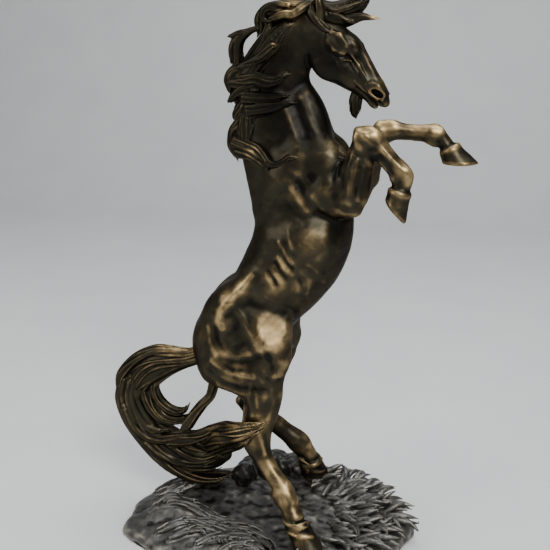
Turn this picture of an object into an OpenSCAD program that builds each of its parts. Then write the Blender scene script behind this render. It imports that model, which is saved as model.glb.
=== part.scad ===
// Rearing horse statue: welded bronze castings on a rock-and-grass base.
// Millimetres, +Z up, the horse faces +X and its right side is -Y.
// The origin is on the flat underside of the base, under the middle of the horse.

/* [Statue] */
// Height from the table to the tip of the forelock
statue_h = 562; // [450:1:700]
// Wall thickness of the hollow castings
wall = 5; // [4:0.5:8]

/* [Base] */
// Length of the base along the horse
base_l = 322; // [310:1:340]
// Width of the base across the horse
base_w = 208; // [200:1:230]
// Height of the ground above the table under the middle of the horse
base_t = 25; // [24:0.5:27]
// Rise of the ground per millimetre towards the far side
base_slope = 0.09; // [0.08:0.01:0.1]
// Thickness of the felt sheet
felt_t = 1.5; // [1:0.5:3]

/* [Fixings] */
// Radius of the studs that hold the hooves and the tail to the base
stud_r = 3; // [2.5:0.5:4]
// Outer radius of the washers
washer_r = 7; // [6:0.5:8]
// Distance across the flats of the nuts
nut_flats = 10; // [8:0.5:12]

/* [Hidden] */

// The horse is laid out at a height of 562 mm and scaled from there.
k = statue_h / 562;
$fn = 14;

// Planes where the castings are welded: point [x, z] and lean from upright
waist_x = 8;
waist_z = 276;
waist_lean = 30;
neck_z = 416;
leg_z = 160;
arm_z = 392;
arm_x = 112;    // the foreleg hangs free in front of this
sleeve_half = 9;

// Ground and fixings
base_y = -8;         // the base reaches further out on the horse's right side
rim_drop = 0.45;     // how far the ground falls at the rim, as a share of its height
roof_t = 6;          // thickness of the base casting over its hollow
boss_r = 9;
boss_z = 9;          // underside of the bosses inside the base
washer_t = 1.5;
nut_h = 4.5;
stud_in = 14;        // how far a stud enters the casting above the ground
stud_z = boss_z - washer_t - nut_h - 0.5;
bore_gap = 0.2;      // radial clearance of a drilled hole round its stud

// Soles of the hind hooves and foot of the tail: [x, y, z]
right_sole = [49, -77, 17];
left_sole = [41, 56, 29];
tail_foot = [-84, 24, 27];
FEET = [right_sole, left_sole, tail_foot];

// Stations of the body: [x, y, z, half depth, half width, half length, lean]
SPINE = [[-50, 0, 190, 30, 32, 24, 20], [-36, 0, 212, 44, 41, 26, 30], [-20, 0, 236, 45, 39, 26, 33],
         [0, 0, 262, 42, 37, 26, 31], [20, 0, 290, 47, 40, 26, 26], [33, 0, 314, 50, 40, 26, 17],
         [37, 0, 338, 50, 38, 26, 8], [32, 0, 364, 49, 34, 26, -2], [22, 0, 394, 44, 28, 24, -4]];
NECK = [[16, 0, 414, 42, 25, 22, -8], [10, 0, 440, 38, 20, 22, -4], [10, 0, 468, 33, 17, 22, 4],
        [18, 0, 494, 26, 15, 20, 20], [31, 0, 518, 20, 14, 16, 35]];
HOLLOW_BODY = [for (i = [1 : len(SPINE) - 1]) SPINE[i]];
HOLLOW_NECK = [for (i = [0 : len(NECK) - 2]) NECK[i]];
THIGH_R = [[-38, -20, 214, 34, 24, 34, 30], [-14, -29, 196, 36, 19, 30, 30], [2, -33, 178, 25, 16, 24, 20],
           [4, -37, 152, 17, 13, 18, 0]];
THIGH_L = [[-38, 20, 214, 34, 24, 34, 30], [-16, 29, 196, 36, 19, 30, 30], [2, 34, 184, 24, 16, 24, 10],
           [-4, 37, 152, 17, 13, 18, -5]];
SHOULDER_R = [[26, -20, 392, 26, 14, 26, 0], [52, -24, 360, 30, 17, 26, -20], [78, -28, 366, 16, 15, 18, 0]];
SHOULDER_L = [[26, 20, 392, 26, 14, 26, 0], [52, 24, 360, 30, 17, 26, -20], [82, 28, 368, 16, 15, 18, 0]];

// Stations of the limbs
HIND_R = [[4, -37, 152, 17, 13, 18, 0], [-1, -42, 130, 10, 9, 12, 0], [-5, -44, 114, 11, 9, 12, 30],
          [12, -51, 93, 7, 7, 9, 0], [32, -60, 70, 9, 9, 9, 0], [39, -67, 56, 8, 8, 8, 0],
          [44, -72, 42, 12, 11, 6, 0], [49, -77, 22, 17, 15, 6, 0]];
HIND_L = [[-4, 37, 152, 17, 13, 18, -5], [-22, 41, 132, 10, 9, 12, 0], [-30, 43, 116, 11, 9, 12, 30],
          [-2, 46, 96, 7, 7, 9, 0], [26, 50, 74, 9, 9, 9, 0], [31, 52, 63, 8, 8, 8, 0],
          [36, 54, 51, 12, 11, 6, 0], [41, 56, 33, 16, 15, 6, 0]];
FORE_R = [[84, -30, 370, 16, 14, 18, 0], [92, -33, 396, 16, 12, 20, 0], [95, -35, 420, 10, 9, 12, 0],
          [98, -35, 434, 10, 9, 9, 0], [117, -35, 416, 7, 7, 7, 0], [136, -35, 398, 9, 8, 8, 0],
          [136, -35, 387, 7, 7, 7, 0], [130, -35, 376, 11, 11, 6, 0], [130, -35, 362, 10, 12, 9, 25]];
FORE_L = [[86, 30, 374, 16, 14, 18, 0], [95, 33, 400, 15, 12, 18, 10], [102, 35, 420, 10, 9, 12, 0],
          [108, 35, 432, 10, 9, 9, 0], [134, 35, 431, 7, 7, 7, 0], [158, 35, 430, 8, 8, 9, 0],
          [170, 35, 421, 7, 7, 7, 0], [177, 35, 412, 11, 11, 6, 45], [183, 35, 405, 15, 13, 6, 5]];

// Head: cranium, eyes, jowl, nose, muzzle, chin
CRANIUM = [48, 0, 528, 16, 14, 14, 40];
EYES = [70, 0, 511, 20, 18, 17, 40];
JOWL = [58, 0, 497, 18, 15, 17, 0];
NOSE = [87, 0, 491, 15, 11, 14, 40];
MUZZLE = [103, 0, 470, 13, 11, 12, 0];
CHIN = [96, 0, 461, 8, 7, 7, 0];

// Locks of hair: [x, y, z, radius] along each
FORELOCK_FRONT = [[44, 0, 542, 9], [62, -4, 537, 8], [84, -6, 531, 7], [105, -8, 534, 3]];
FORELOCK_CREST = [[42, 0, 546, 7], [60, 2, 543, 8], [78, 1, 546, 8], [92, 1, 554, 6], [99, 2, 559, 2]];
EAR_R = [[50, -11, 536, 7], [50, -14, 548, 6], [49, -15, 559, 2]];
EAR_L = [[50, 11, 536, 7], [47, 14, 547, 6], [44, 16, 557, 2]];
CHIN_TUFT = [[88, 0, 459, 6], [82, 0, 451, 5], [83, 0, 443, 2]];
MANE_CURL = [[30, 0, 540, 9], [12, -4, 544, 9], [-4, -4, 540, 8], [-8, -2, 528, 5], [-10, 0, 518, 3]];
MANE_LOOP = [[2, -6, 516, 7], [-14, -6, 521, 6], [-28, -4, 519, 6], [-38, -2, 508, 6], [-34, 0, 494, 7]];
MANE_UPPER = [[10, -10, 516, 14], [-10, -12, 500, 15], [-24, -8, 482, 16], [-30, -4, 466, 12]];
MANE_MIDDLE = [[-14, -12, 474, 14], [-18, -18, 452, 14], [4, -24, 462, 8], [24, -22, 470, 4]];
MANE_LOWER = [[-20, -10, 446, 14], [-24, -16, 426, 14], [-10, -26, 412, 11], [12, -31, 402, 8],
              [34, -31, 406, 5], [48, -28, 412, 3]];

// Stations of the tail
TAIL_ROOT = [[-64, 0, 198, 11, 9, 11, 0], [-86, 0, 195, 13, 10, 14, 0], [-108, 1, 184, 14, 11, 17, 0],
             [-132, 3, 172, 26, 13, 24, 0], [-146, 5, 148, 26, 14, 22, 0]];
TAIL_FALL = [[-146, 5, 148, 26, 14, 22, 0], [-136, 14, 108, 28, 16, 26, 0], [-110, 22, 70, 28, 22, 34, 0],
             [-78, 24, 58, 26, 24, 36, 0], [-54, 14, 72, 18, 16, 30, 0]];
TAIL_TIP = [[-56, 6, 92, 14, 12, 14, 0], [-40, -26, 112, 9, 9, 12, 0], [-24, -55, 126, 8, 6, 10, 0],
            [-6, -60, 134, 6, 4, 7, 0], [10, -58, 139, 3, 2, 3, 0]];
TAIL_STRAND = [[-62, -4, 158, 3], [-60, -6, 144, 3], [-74, -6, 124, 3], [-88, -4, 104, 4]];
tail_split_z = 144;
// The round root of the tail, let into the rump
TAIL_DOCK = [[-60, 0, 198, 8], [-90, 0, 196, 8]];

// Plain pins inside the welds: [x, y, z, lean, length]
DOWELS = [[89, -32, 380, 8, 26], [95, 32, 380, 8, 26]];
HEAD_PIN = [40, 0, 505, 60, 26];
dowel_r = 3;

bronze = "#4a3420";
dark_bronze = "#2e2419";
gold_bronze = "#7a5a2c";

// ---- Shapes shared by several castings ----

module blob(s, shrink = 0) {
    translate([s[0], s[1], s[2]]) rotate([0, s[6], 0])
        scale([s[3] - shrink, s[4] - shrink, s[5] - shrink]) sphere(1);
}

module chain(stations, shrink = 0) {
    for (i = [0 : len(stations) - 2])
        hull() {
            blob(stations[i], shrink);
            blob(stations[i + 1], shrink);
        }
}

// A lock of hair: round stations cut into short links so that it bends smoothly
function between(a, b, t) = a * (1 - t) + b * t;
function rounded(path) = [for (i = [0 : len(path) - 2], t = [0, 0.5])
    let (a = path[max(i - 1, 0)], b = path[i], c = path[i + 1], d = path[min(i + 2, len(path) - 1)])
        t == 0 ? b : between(b, c, 0.5) + (b + c - a - d) / 16];

module lock(path) {
    smooth = concat(rounded(path), [path[len(path) - 1]]);
    for (i = [0 : len(smooth) - 2])
        hull() {
            ball(smooth[i]);
            ball(smooth[i + 1]);
        }
}

module ball(s) { translate([s[0], s[1], s[2]]) sphere(s[3], $fn = 8); }

// Everything on the low side of a leaning plane
module below(x, z, lean) {
    translate([x, 0, z]) rotate([0, lean, 0]) translate([-400, -400, -800]) cube(800);
}

// ---- Ground ----

// The outline is an uneven oval, cut back behind the tail and fuller in front of it
function outline_r(a) = 1 + 0.015 * sin(5 * a + 40) + 0.012 * sin(9 * a) + 0.01 * sin(14 * a + 70)
    - 0.13 * exp(-pow((a - 152) / 30, 2)) + 0.05 * exp(-pow((a - 202) / 24, 2));
function ground_z(y, share) = (base_t + base_slope * y) * (1 - rim_drop * pow(share, 8));
GROUND_STEPS = 40;
GROUND_RINGS = [0.25, 0.5, 0.75, 0.9, 1];
outer_share = 0.965;

function ring_points(size_l, size_w, share, height, steps = GROUND_STEPS) =
    [for (i = [0 : steps - 1])
        let (a = 360 * i / steps, x = size_l / 2 * outer_share * share * outline_r(a) * cos(a),
             y = size_w / 2 * outer_share * share * outline_r(a) * sin(a) + base_y)
            [x, y, height == undef ? ground_z(y, share) : height]];

// The solid under the ground, down to z = bottom, drawn in from the rim by inset and down by drop
module ground(bottom, inset = 0, drop = 0) {
    l = base_l - 2 * inset;
    w = base_w - 2 * inset;
    rings = [for (s = GROUND_RINGS) [for (p = ring_points(l, w, s)) p - [0, 0, drop]]];
    n = GROUND_STEPS;
    tops = [for (r = rings, p = r) p];
    feet = ring_points(l, w, 1, bottom);
    points = concat([[0, base_y, ground_z(base_y, 0) - drop]], tops, feet, [[0, base_y, bottom]]);
    last = len(points) - 1;
    m = len(GROUND_RINGS);
    faces = concat(
        [for (i = [0 : n - 1]) [0, 1 + (i + 1) % n, 1 + i]],
        [for (j = [0 : m - 1], i = [0 : n - 1])
            [1 + j * n + i, 1 + j * n + (i + 1) % n, 1 + (j + 1) * n + i]],
        [for (j = [0 : m - 1], i = [0 : n - 1])
            [1 + j * n + (i + 1) % n, 1 + (j + 1) * n + (i + 1) % n, 1 + (j + 1) * n + i]],
        [for (i = [0 : n - 1]) [last, 1 + m * n + i, 1 + m * n + (i + 1) % n]]);
    polyhedron(points, faces);
}

module base_felt() {
    color("#1c1f1c")
        linear_extrude(felt_t)
            polygon([for (p = ring_points(base_l - 6, base_w - 6, 1, 0)) [p[0], p[1]]]);
}

module base_shell() {
    color(dark_bronze)
        difference() {
            union() {
                difference() {
                    ground(felt_t);
                    translate([0, 0, -1]) ground(felt_t, wall, roof_t - 1);
                }
                for (f = FEET)
                    translate([f[0], f[1], boss_z]) cylinder(r = boss_r, h = f[2] - 2 - boss_z, $fn = 48);
            }
            for (f = FEET)
                translate([f[0], f[1], 0]) cylinder(r = stud_r + bore_gap, h = 60, $fn = 48);
            for (f = [right_sole, left_sole])
                translate(f) cylinder(r = 19, h = 20, $fn = 48);
        }
}

// Rough spikes of grass that lean out from a root: [x, y, z, lean, turn, length, radius]
module spike(s) {
    translate([s[0], s[1], s[2]]) rotate([0, 0, s[4]]) rotate([0, s[3], 0])
        for (i = [0 : 2]) {
            t = [0, 0.4, 0.75, 1];
            bend = [0, 0.03, 0.1, 0.2];
            size = [1, 0.9, 0.6, 0.15];
            hull()
                for (j = [i, i + 1])
                    translate([bend[j] * s[5], 0, t[j] * s[5]]) sphere(s[6] * size[j], $fn = 6);
        }
}

// What stands on the ground, cut where the ground and the hind legs begin
module above_ground() {
    difference() {
        children();
        ground(-20);
        for (f = FEET) stud_hole(f);
        scale(k) {
            chain(HIND_R);
            chain(HIND_L);
        }
    }
}

// A low bank of turf: [x, y, z] along its middle, with its half-width
module bank(path, half_w) { chain([for (p = path) [p[0], p[1], p[2], half_w, half_w, 11, 0]]); }

module rock_mound() {
    color(dark_bronze)
        above_ground() {
            chain([[-34, 70, 24, 20, 16, 16, 0], [-8, 72, 30, 24, 16, 18, 0], [18, 76, 26, 22, 12, 16, 0],
                   [40, 80, 22, 14, 8, 12, 0]]);
            for (i = [0 : 6])
                spike([-38 + 12 * i, 70 + 6 * sin(100 * i), 24,
                       14 * sin(70 * i), 30 * i, 24 + 5 * cos(80 * i), 6]);
        }
}

module grass_right() {
    color(dark_bronze)
        above_ground() {
            bank([[80, -62, 15], [104, -46, 17], [118, -8, 20], [114, 32, 24], [92, 56, 25]], 18);
            for (i = [0 : 12]) {
                a = -58 + 9 * i;
                r = 108 + 10 * cos(150 * i);
                spike([r * cos(a), 0.66 * r * sin(a), 17 + 7 * sin(a), 60, a, 40 + 5 * sin(110 * i), 7]);
            }
        }
}

module grass_front() {
    color(dark_bronze)
        above_ground() {
            bank([[-116, -50, 14], [-84, -72, 12], [-40, -82, 12], [0, -84, 12]], 14);
            for (i = [0 : 9])
                spike([-100 + 11 * i, -62 - 16 * sin(16 * i), 12,
                       66, -145 + 8 * i, 34 + 4 * cos(130 * i), 7]);
        }
}

module grass_left() {
    color(dark_bronze)
        above_ground() {
            bank([[-118, -14, 20], [-100, 14, 22], [-72, 34, 23]], 22);
            for (i = [0 : 8])
                spike([-106, -4, 16, 66, 128 + 14 * i, 36 + 4 * cos(140 * i), 8]);
        }
}

// ---- Fixings inside the base ----

module fixing_studs() {
    color("#9a9a96")
        for (f = FEET)
            translate([f[0], f[1], stud_z])
                cylinder(r = stud_r, h = f[2] + stud_in - stud_z, $fn = 48);
}

module fixing_washers() {
    color("#9a9a96")
        for (f = FEET)
            translate([f[0], f[1], boss_z - washer_t])
                difference() {
                    cylinder(r = washer_r, h = washer_t, $fn = 48);
                    translate([0, 0, -1]) cylinder(r = stud_r + bore_gap, h = washer_t + 2, $fn = 48);
                }
}

module fixing_nuts() {
    color("#9a9a96")
        for (f = FEET)
            translate([f[0], f[1], boss_z - washer_t - nut_h])
                difference() {
                    cylinder(r = nut_flats / sqrt(3), h = nut_h, $fn = 6);
                    translate([0, 0, -1]) cylinder(r = stud_r, h = nut_h + 2, $fn = 48);
                }
}

// ---- Body ----

module body_shape() {
    trunk_shape();
    arm_stubs();
}

// The tops of the forelegs, which are cast on the front torso
module arm_stubs() {
    intersection() {
        union() {
            chain([FORE_R[0], FORE_R[1]]);
            chain([FORE_L[0], FORE_L[1]]);
        }
        translate([-400, -400, arm_z - 800]) cube(800);
    }
}

module trunk_shape() {
    chain(SPINE);
    chain(NECK);
    chain([SPINE[len(SPINE) - 1], NECK[0]]);
    chain(THIGH_R);
    chain(THIGH_L);
    chain(SHOULDER_R);
    chain(SHOULDER_L);
}

module body_hollow(extra = 0) {
    chain(HOLLOW_BODY, wall + extra);
    chain([SPINE[len(SPINE) - 1], NECK[0]], wall + extra);
    chain(HOLLOW_NECK, wall + extra);
}

module rear_torso() {
    color(bronze) scale(k)
        difference() {
            intersection() {
                body_shape();
                below(waist_x, waist_z, waist_lean);
                translate([-400, -400, leg_z]) cube(800);
            }
            body_hollow();
            lock(TAIL_DOCK);
        }
}

module front_torso() {
    color(bronze) scale(k)
        difference() {
            body_shape();
            below(waist_x, waist_z, waist_lean);
            body_hollow();
            translate([-400, -400, neck_z]) cube(800);
            for (d = DOWELS) dowel(d, bore_gap);
        }
}

module neck() {
    color(bronze) scale(k)
        difference() {
            body_shape();
            translate([-400, -400, neck_z - 800]) cube(800);
            body_hollow();
            dowel(HEAD_PIN, bore_gap);
        }
}

// A cast collar inside the hollow, half its length on each side of the weld
module waist_sleeve() {
    color(bronze) scale(k)
        difference() {
            intersection() {
                body_hollow();
                collar_band(waist_x, waist_z, waist_lean);
            }
            body_hollow(3);
        }
}

module neck_sleeve() {
    color(bronze) scale(k)
        difference() {
            intersection() {
                body_hollow();
                collar_band(0, neck_z, 0);
            }
            body_hollow(3);
        }
}

module collar_band(x, z, lean) {
    translate([x, 0, z]) rotate([0, lean, 0]) cube([300, 300, 2 * sleeve_half], center = true);
}

// ---- Legs ----

module dowel(d, gap = 0) {
    translate([d[0], d[1], d[2]]) rotate([0, d[3], 0]) cylinder(r = dowel_r + gap, h = d[4], $fn = 48);
}

module hind_leg(stations, sole) {
    scale(k)
        difference() {
            chain(stations);
            translate([-400, -400, leg_z]) cube(800);
            translate([-400, -400, sole[2] / k - 800]) cube(800);
            scale(1 / k) stud_hole(sole);
        }
}

// The drilled hole for the stud that comes up under a hoof or the tail
module stud_hole(foot) {
    translate([foot[0], foot[1], 0]) cylinder(r = stud_r + bore_gap, h = foot[2] + stud_in, $fn = 48);
}

module right_hind_leg() { color(gold_bronze) hind_leg(HIND_R, right_sole); }

module left_hind_leg() { color(gold_bronze) hind_leg(HIND_L, left_sole); }

module foreleg(stations, d) {
    scale(k)
        difference() {
            chain(stations);
            translate([-400, -400, arm_z - 800]) cube([400 + arm_x, 800, 800]);
            trunk_shape();
            dowel(d, bore_gap);
        }
}

module right_foreleg() { color(gold_bronze) foreleg(FORE_R, DOWELS[0]); }

module left_foreleg() { color(gold_bronze) foreleg(FORE_L, DOWELS[1]); }

module foreleg_dowels() { color("#9a9a96") scale(k) for (d = DOWELS) dowel(d); }

// ---- Head and hair ----

module head_shape() {
    chain([CRANIUM, EYES, NOSE, MUZZLE, CHIN]);
    chain([CRANIUM, JOWL, NOSE]);
    chain([EYES, JOWL]);
    chain([NOSE, CHIN]);
}

module head() {
    color(bronze) scale(k)
        difference() {
            head_shape();
            body_shape();
            dowel(HEAD_PIN, bore_gap);
        }
}

module head_dowel() { color("#9a9a96") scale(k) dowel(HEAD_PIN); }

// Hair is welded on last, so each lock stops where the castings under it begin
module hair(path) {
    scale(k)
        difference() {
            lock(path);
            body_shape();
            head_shape();
            children();
        }
}

module right_ear() { color(bronze) hair(EAR_R); }

module left_ear() { color(bronze) hair(EAR_L); }

module forelock_front() {
    color(gold_bronze) hair(FORELOCK_FRONT) {
        lock(FORELOCK_CREST);
        ears();
    }
}

module forelock_crest() { color(bronze) hair(FORELOCK_CREST) ears(); }

module ears() {
    lock(EAR_R);
    lock(EAR_L);
}

module chin_tuft() { color(dark_bronze) hair(CHIN_TUFT); }

module mane_curl() {
    color(bronze) hair(MANE_CURL) {
        ears();
        lock(FORELOCK_CREST);
        lock(FORELOCK_FRONT);
    }
}

module mane_loop() {
    color(bronze) hair(MANE_LOOP) {
        lock(MANE_UPPER);
        lock(MANE_CURL);
    }
}

module mane_upper() { color(dark_bronze) hair(MANE_UPPER) lock(MANE_CURL); }

module mane_middle() { color(dark_bronze) hair(MANE_MIDDLE) lock(MANE_UPPER); }

module mane_lower() {
    color(dark_bronze) hair(MANE_LOWER) {
        lock(MANE_MIDDLE);
        lock(MANE_UPPER);
    }
}

// ---- Tail ----

module tail_upper() {
    color(dark_bronze) scale(k)
        difference() {
            union() {
                chain(TAIL_ROOT);
                lock(TAIL_DOCK);
            }
            difference() {
                body_shape();
                lock(TAIL_DOCK);
            }
            translate([-400, -400, tail_split_z - 800]) cube(800);
        }
}

module tail_lower() {
    color(dark_bronze)
        difference() {
            scale(k)
                difference() {
                    chain(TAIL_FALL);
                    translate([-400, -400, tail_split_z]) cube(800);
                    body_shape();
                    chain([for (i = [0 : 2]) TAIL_FALL[i]], wall);
                }
            ground(-20);
            grass_left();
            stud_hole(tail_foot);
        }
}

module tail_tip() {
    color(dark_bronze) scale(k)
        difference() {
            chain(TAIL_TIP);
            chain(TAIL_FALL);
            chain(HIND_R);
            body_shape();
        }
}

module tail_strand() {
    color(bronze) scale(k)
        difference() {
            lock(TAIL_STRAND);
            chain(TAIL_FALL);
            body_shape();
        }
}

base_felt();
base_shell();
rock_mound();
grass_right();
grass_front();
grass_left();
fixing_studs();
fixing_washers();
fixing_nuts();
rear_torso();
front_torso();
waist_sleeve();
neck();
neck_sleeve();
right_hind_leg();
left_hind_leg();
right_foreleg();
left_foreleg();
foreleg_dowels();
head();
head_dowel();
right_ear();
left_ear();
forelock_front();
forelock_crest();
chin_tuft();
mane_curl();
mane_loop();
mane_upper();
mane_middle();
mane_lower();
tail_upper();
tail_lower();
tail_tip();
tail_strand();
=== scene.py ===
"""Rearing horse in patinated bronze: the looks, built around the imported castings.

Sizes in the tables are millimetres in the frame of the part; meshes are made in metres.
The horse faces +X and its right side, towards the camera, is -Y.
"""

import math

import bpy
import numpy as np
import openvdb
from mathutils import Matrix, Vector


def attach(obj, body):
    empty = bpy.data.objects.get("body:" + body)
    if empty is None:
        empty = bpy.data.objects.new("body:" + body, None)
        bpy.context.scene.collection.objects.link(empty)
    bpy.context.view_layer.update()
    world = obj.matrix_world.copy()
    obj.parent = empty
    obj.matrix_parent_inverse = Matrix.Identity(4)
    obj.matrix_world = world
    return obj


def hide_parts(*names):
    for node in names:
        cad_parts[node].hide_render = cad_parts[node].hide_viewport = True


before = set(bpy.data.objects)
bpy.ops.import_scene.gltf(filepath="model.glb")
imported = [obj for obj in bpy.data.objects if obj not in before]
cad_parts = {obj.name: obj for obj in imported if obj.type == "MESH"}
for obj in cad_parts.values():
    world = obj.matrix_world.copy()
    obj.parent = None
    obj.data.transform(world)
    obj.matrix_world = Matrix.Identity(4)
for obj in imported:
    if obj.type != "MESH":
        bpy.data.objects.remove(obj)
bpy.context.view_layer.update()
MM = 0.001
FAR = 1.0e3          # distance, in mm, of a field with nothing in it
TINY = 1e-9          # keeps divisions from failing on empty vectors
SIDEWAYS = (0, 1, 0)
EVERYWHERE = (-400, -400, -400), (400, 400, 400)
BODY_STEP, HEAD_STEP, HAIR_STEP, GROUND_STEP = 1.2, 0.7, 0.85, 1.5     # grid steps, in mm

# ---- Fields ----


def unit(v):
    v = np.asarray(v, float)
    return v / max(np.linalg.norm(v), TINY)


def axes_from(direction, side=SIDEWAYS):
    """Columns: depth, width and length axes of a limb that runs along direction, its width along side."""
    length = unit(direction)
    depth = unit(np.cross(side, length))
    return np.stack([depth, np.cross(length, depth), length], 1)


def lean(degrees, turn=0.0):
    """Axes of a pad that leans towards +X by degrees and is then turned about Z."""
    a, b = math.radians(degrees), math.radians(turn)
    tip = np.array([[math.cos(a), 0, math.sin(a)], [0, 1, 0], [-math.sin(a), 0, math.cos(a)]])
    spin = np.array([[math.cos(b), -math.sin(b), 0], [math.sin(b), math.cos(b), 0], [0, 0, 1]])
    return spin @ tip


class Field:
    """Signed distances, in mm, on a regular grid; negative is inside the metal."""

    def __init__(self, low, high, step):
        self.step = step
        self.first = np.floor(np.asarray(low, float) / step).astype(int)
        self.size = np.ceil(np.asarray(high, float) / step).astype(int) - self.first + 1
        self.f = np.full(self.size, FAR, np.float32)

    def window(self, low, high):
        """The slices and the coordinates of the grid between two corners."""
        a = np.clip(np.floor(np.asarray(low) / self.step).astype(int) - self.first, 0, self.size)
        b = np.clip(np.ceil(np.asarray(high) / self.step).astype(int) - self.first + 1, 0, self.size)
        if (b <= a).any():
            return None, None
        cut = tuple(slice(i, j) for i, j in zip(a, b))
        grid = [((np.arange(a[i], b[i]) + self.first[i]) * self.step).astype(np.float32) for i in range(3)]
        return cut, (grid[0][:, None, None], grid[1][None, :, None], grid[2][None, None, :])

    def part(self, low, high):
        """An empty field on the same grid lines, only as big as a window."""
        cut, _ = self.window(low, high)
        if cut is None:
            return None, None
        small = Field.__new__(Field)
        small.step = self.step
        small.first = self.first + np.array([c.start for c in cut])
        small.size = np.array([c.stop - c.start for c in cut])
        small.f = np.full(small.size, FAR, np.float32)
        return small, cut

    def ellipsoid(self, centre, radii, axes, margin=0.0):
        """Takes the lower of the field and one ellipsoid, hard."""
        centre, radii = np.asarray(centre, float), np.asarray(radii, float)
        reach = np.sqrt(((axes * radii) ** 2).sum(1)) + margin + 3 * self.step
        cut, grid = self.window(centre - reach, centre + reach)
        if cut is None:
            return
        self.f[cut] = np.minimum(self.f[cut], ellipsoid(grid, centre, radii, axes))

    def cone(self, a, b, ra, rb, margin=0.0):
        """Takes the lower of the field and one round cone, hard."""
        a, b = np.asarray(a, float), np.asarray(b, float)
        reach = max(ra, rb) + margin + 3 * self.step
        cut, grid = self.window(np.minimum(a, b) - reach, np.maximum(a, b) + reach)
        if cut is None:
            return
        p = [grid[i] - np.float32(a[i]) for i in range(3)]
        d = b - a
        t = (p[0] * d[0] + p[1] * d[1] + p[2] * d[2]) / np.float32(max((d * d).sum(), 1e-6))
        t = np.clip(t, 0, 1)
        gap = np.sqrt((p[0] - t * d[0]) ** 2 + (p[1] - t * d[1]) ** 2 + (p[2] - t * d[2]) ** 2)
        self.f[cut] = np.minimum(self.f[cut], gap - (ra + (rb - ra) * t))

    def join(self, part, cut, blend):
        """Adds a part, with a fillet."""
        here = self.f[cut]
        h = np.maximum(blend - np.abs(here - part.f), 0) / blend
        self.f[cut] = np.minimum(here, part.f) - h * h * blend * 0.25

    def carve(self, part, cut, blend):
        """Takes a part away, with a rounded edge."""
        here = self.f[cut]
        h = np.maximum(blend - np.abs(here + part.f), 0) / blend
        self.f[cut] = np.maximum(here, -part.f) + h * h * blend * 0.25


def ellipsoid(grid, centre, radii, axes):
    """Distances from an ellipsoid, near enough to exact close to its surface."""
    p = [grid[i] - np.float32(centre[i]) for i in range(3)]
    one = two = 0.0
    for j in range(3):
        q = (p[0] * axes[0, j] + p[1] * axes[1, j] + p[2] * axes[2, j]) / radii[j]
        one = one + q * q
        two = two + (q / radii[j]) ** 2
    one = np.sqrt(one)
    return (one * (one - 1) / np.maximum(np.sqrt(two), 1e-6)).astype(np.float32)


def mesh_from(name, points, faces):
    """A mesh object from arrays of points and of triangles or quads."""
    n, corners = faces.shape
    mesh = bpy.data.meshes.new(name)
    mesh.vertices.add(len(points))
    mesh.vertices.foreach_set("co", np.ascontiguousarray(points, np.float32).ravel())
    mesh.loops.add(n * corners)
    mesh.loops.foreach_set("vertex_index", np.ascontiguousarray(faces, np.int32).ravel())
    mesh.polygons.add(n)
    mesh.polygons.foreach_set("loop_start", np.arange(0, n * corners, corners, dtype=np.int32))
    mesh.update(calc_edges=True)
    mesh.validate()
    piece = bpy.data.objects.new(name, mesh)
    bpy.context.collection.objects.link(piece)
    return piece


# ---- Curves ----


def full_rows(stations):
    """Rows of x, y, z, half depth and half width, as floats; a round place gives one half size."""
    return np.array([(*row, row[3]) if len(row) == 4 else row for row in stations], float)


def smooth_path(stations, steps):
    """Catmull-Rom through the stations, with steps samples between each two."""
    s = full_rows(stations)
    s = np.vstack([2 * s[0] - s[1], s, 2 * s[-1] - s[-2]])
    rows = []
    for i in range(1, len(s) - 2):
        a, b, c, d = s[i - 1:i + 3]
        for t in np.arange(steps) / steps:
            rows.append(0.5 * (2 * b + (c - a) * t + (2 * a - 5 * b + 4 * c - d) * t * t
                               + (3 * b - a - 3 * c + d) * t ** 3))
    rows.append(s[-2])
    return np.array(rows)


# ---- The horse ----


# The trunk and neck along the spine: x, y, z, half depth, half width
TRUNK = [(-54, 0, 184, 24, 28), (-40, 0, 208, 41, 39), (-22, 0, 235, 43, 38), (-1, 0, 262, 40.5, 35),
         (19, 0, 290, 45.5, 38), (32, 0, 314, 48.5, 39), (37, 0, 339, 49.5, 36), (32, 0, 365, 48.5, 32),
         (22, 0, 392, 44, 26), (15, 0, 416, 41, 22), (10, 0, 441, 37, 19), (9, 0, 468, 32, 16),
         (17, 0, 494, 26, 14), (30, 0, 519, 19, 13), (41, 0, 532, 14, 12)]

# Muscles that both sides share, given for the right side:
# centre, half sizes, lean, turn, blend
PADS = [
    ((-34, -18, 246), (28, 20, 32), 32, 0, 12),      # gluteal mass
    ((2, -27, 224), (27, 20, 33), 24, 0, 12),        # outer thigh
    ((-38, -21, 200), (25, 20, 34), 36, 0, 12),      # hamstrings
    ((-4, -31, 194), (26, 17, 26), 20, 0, 10),       # lower thigh
    ((17, -34, 206), (12, 11, 17), 24, 0, 8),        # stifle
    ((34, -20, 394), (31, 15, 24), -38, 0, 12),      # shoulder blade
    ((61, -20, 409), (16, 14, 16), 0, 0, 12),       # point of the shoulder
    ((66, -13, 392), (16, 14, 24), 4, 0, 12),        # breast
    ((64, -22, 394), (15, 12, 13), 0, 0, 11),
    ((55, -24, 374), (20, 14, 17), -40, 0, 9),       # triceps
    ((65, -29, 379), (15, 12.5, 16), 0, 0, 6),
    ((74, -28, 364), (16, 11, 14), -10, 0, 8),       # elbow
    ((46, -24, 326), (28, 18, 23), 0, 0, 12),        # ribs behind the elbow
    ((48, 0, 446), (8, 11, 26), -22, 0, 10),         # windpipe
]
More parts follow.
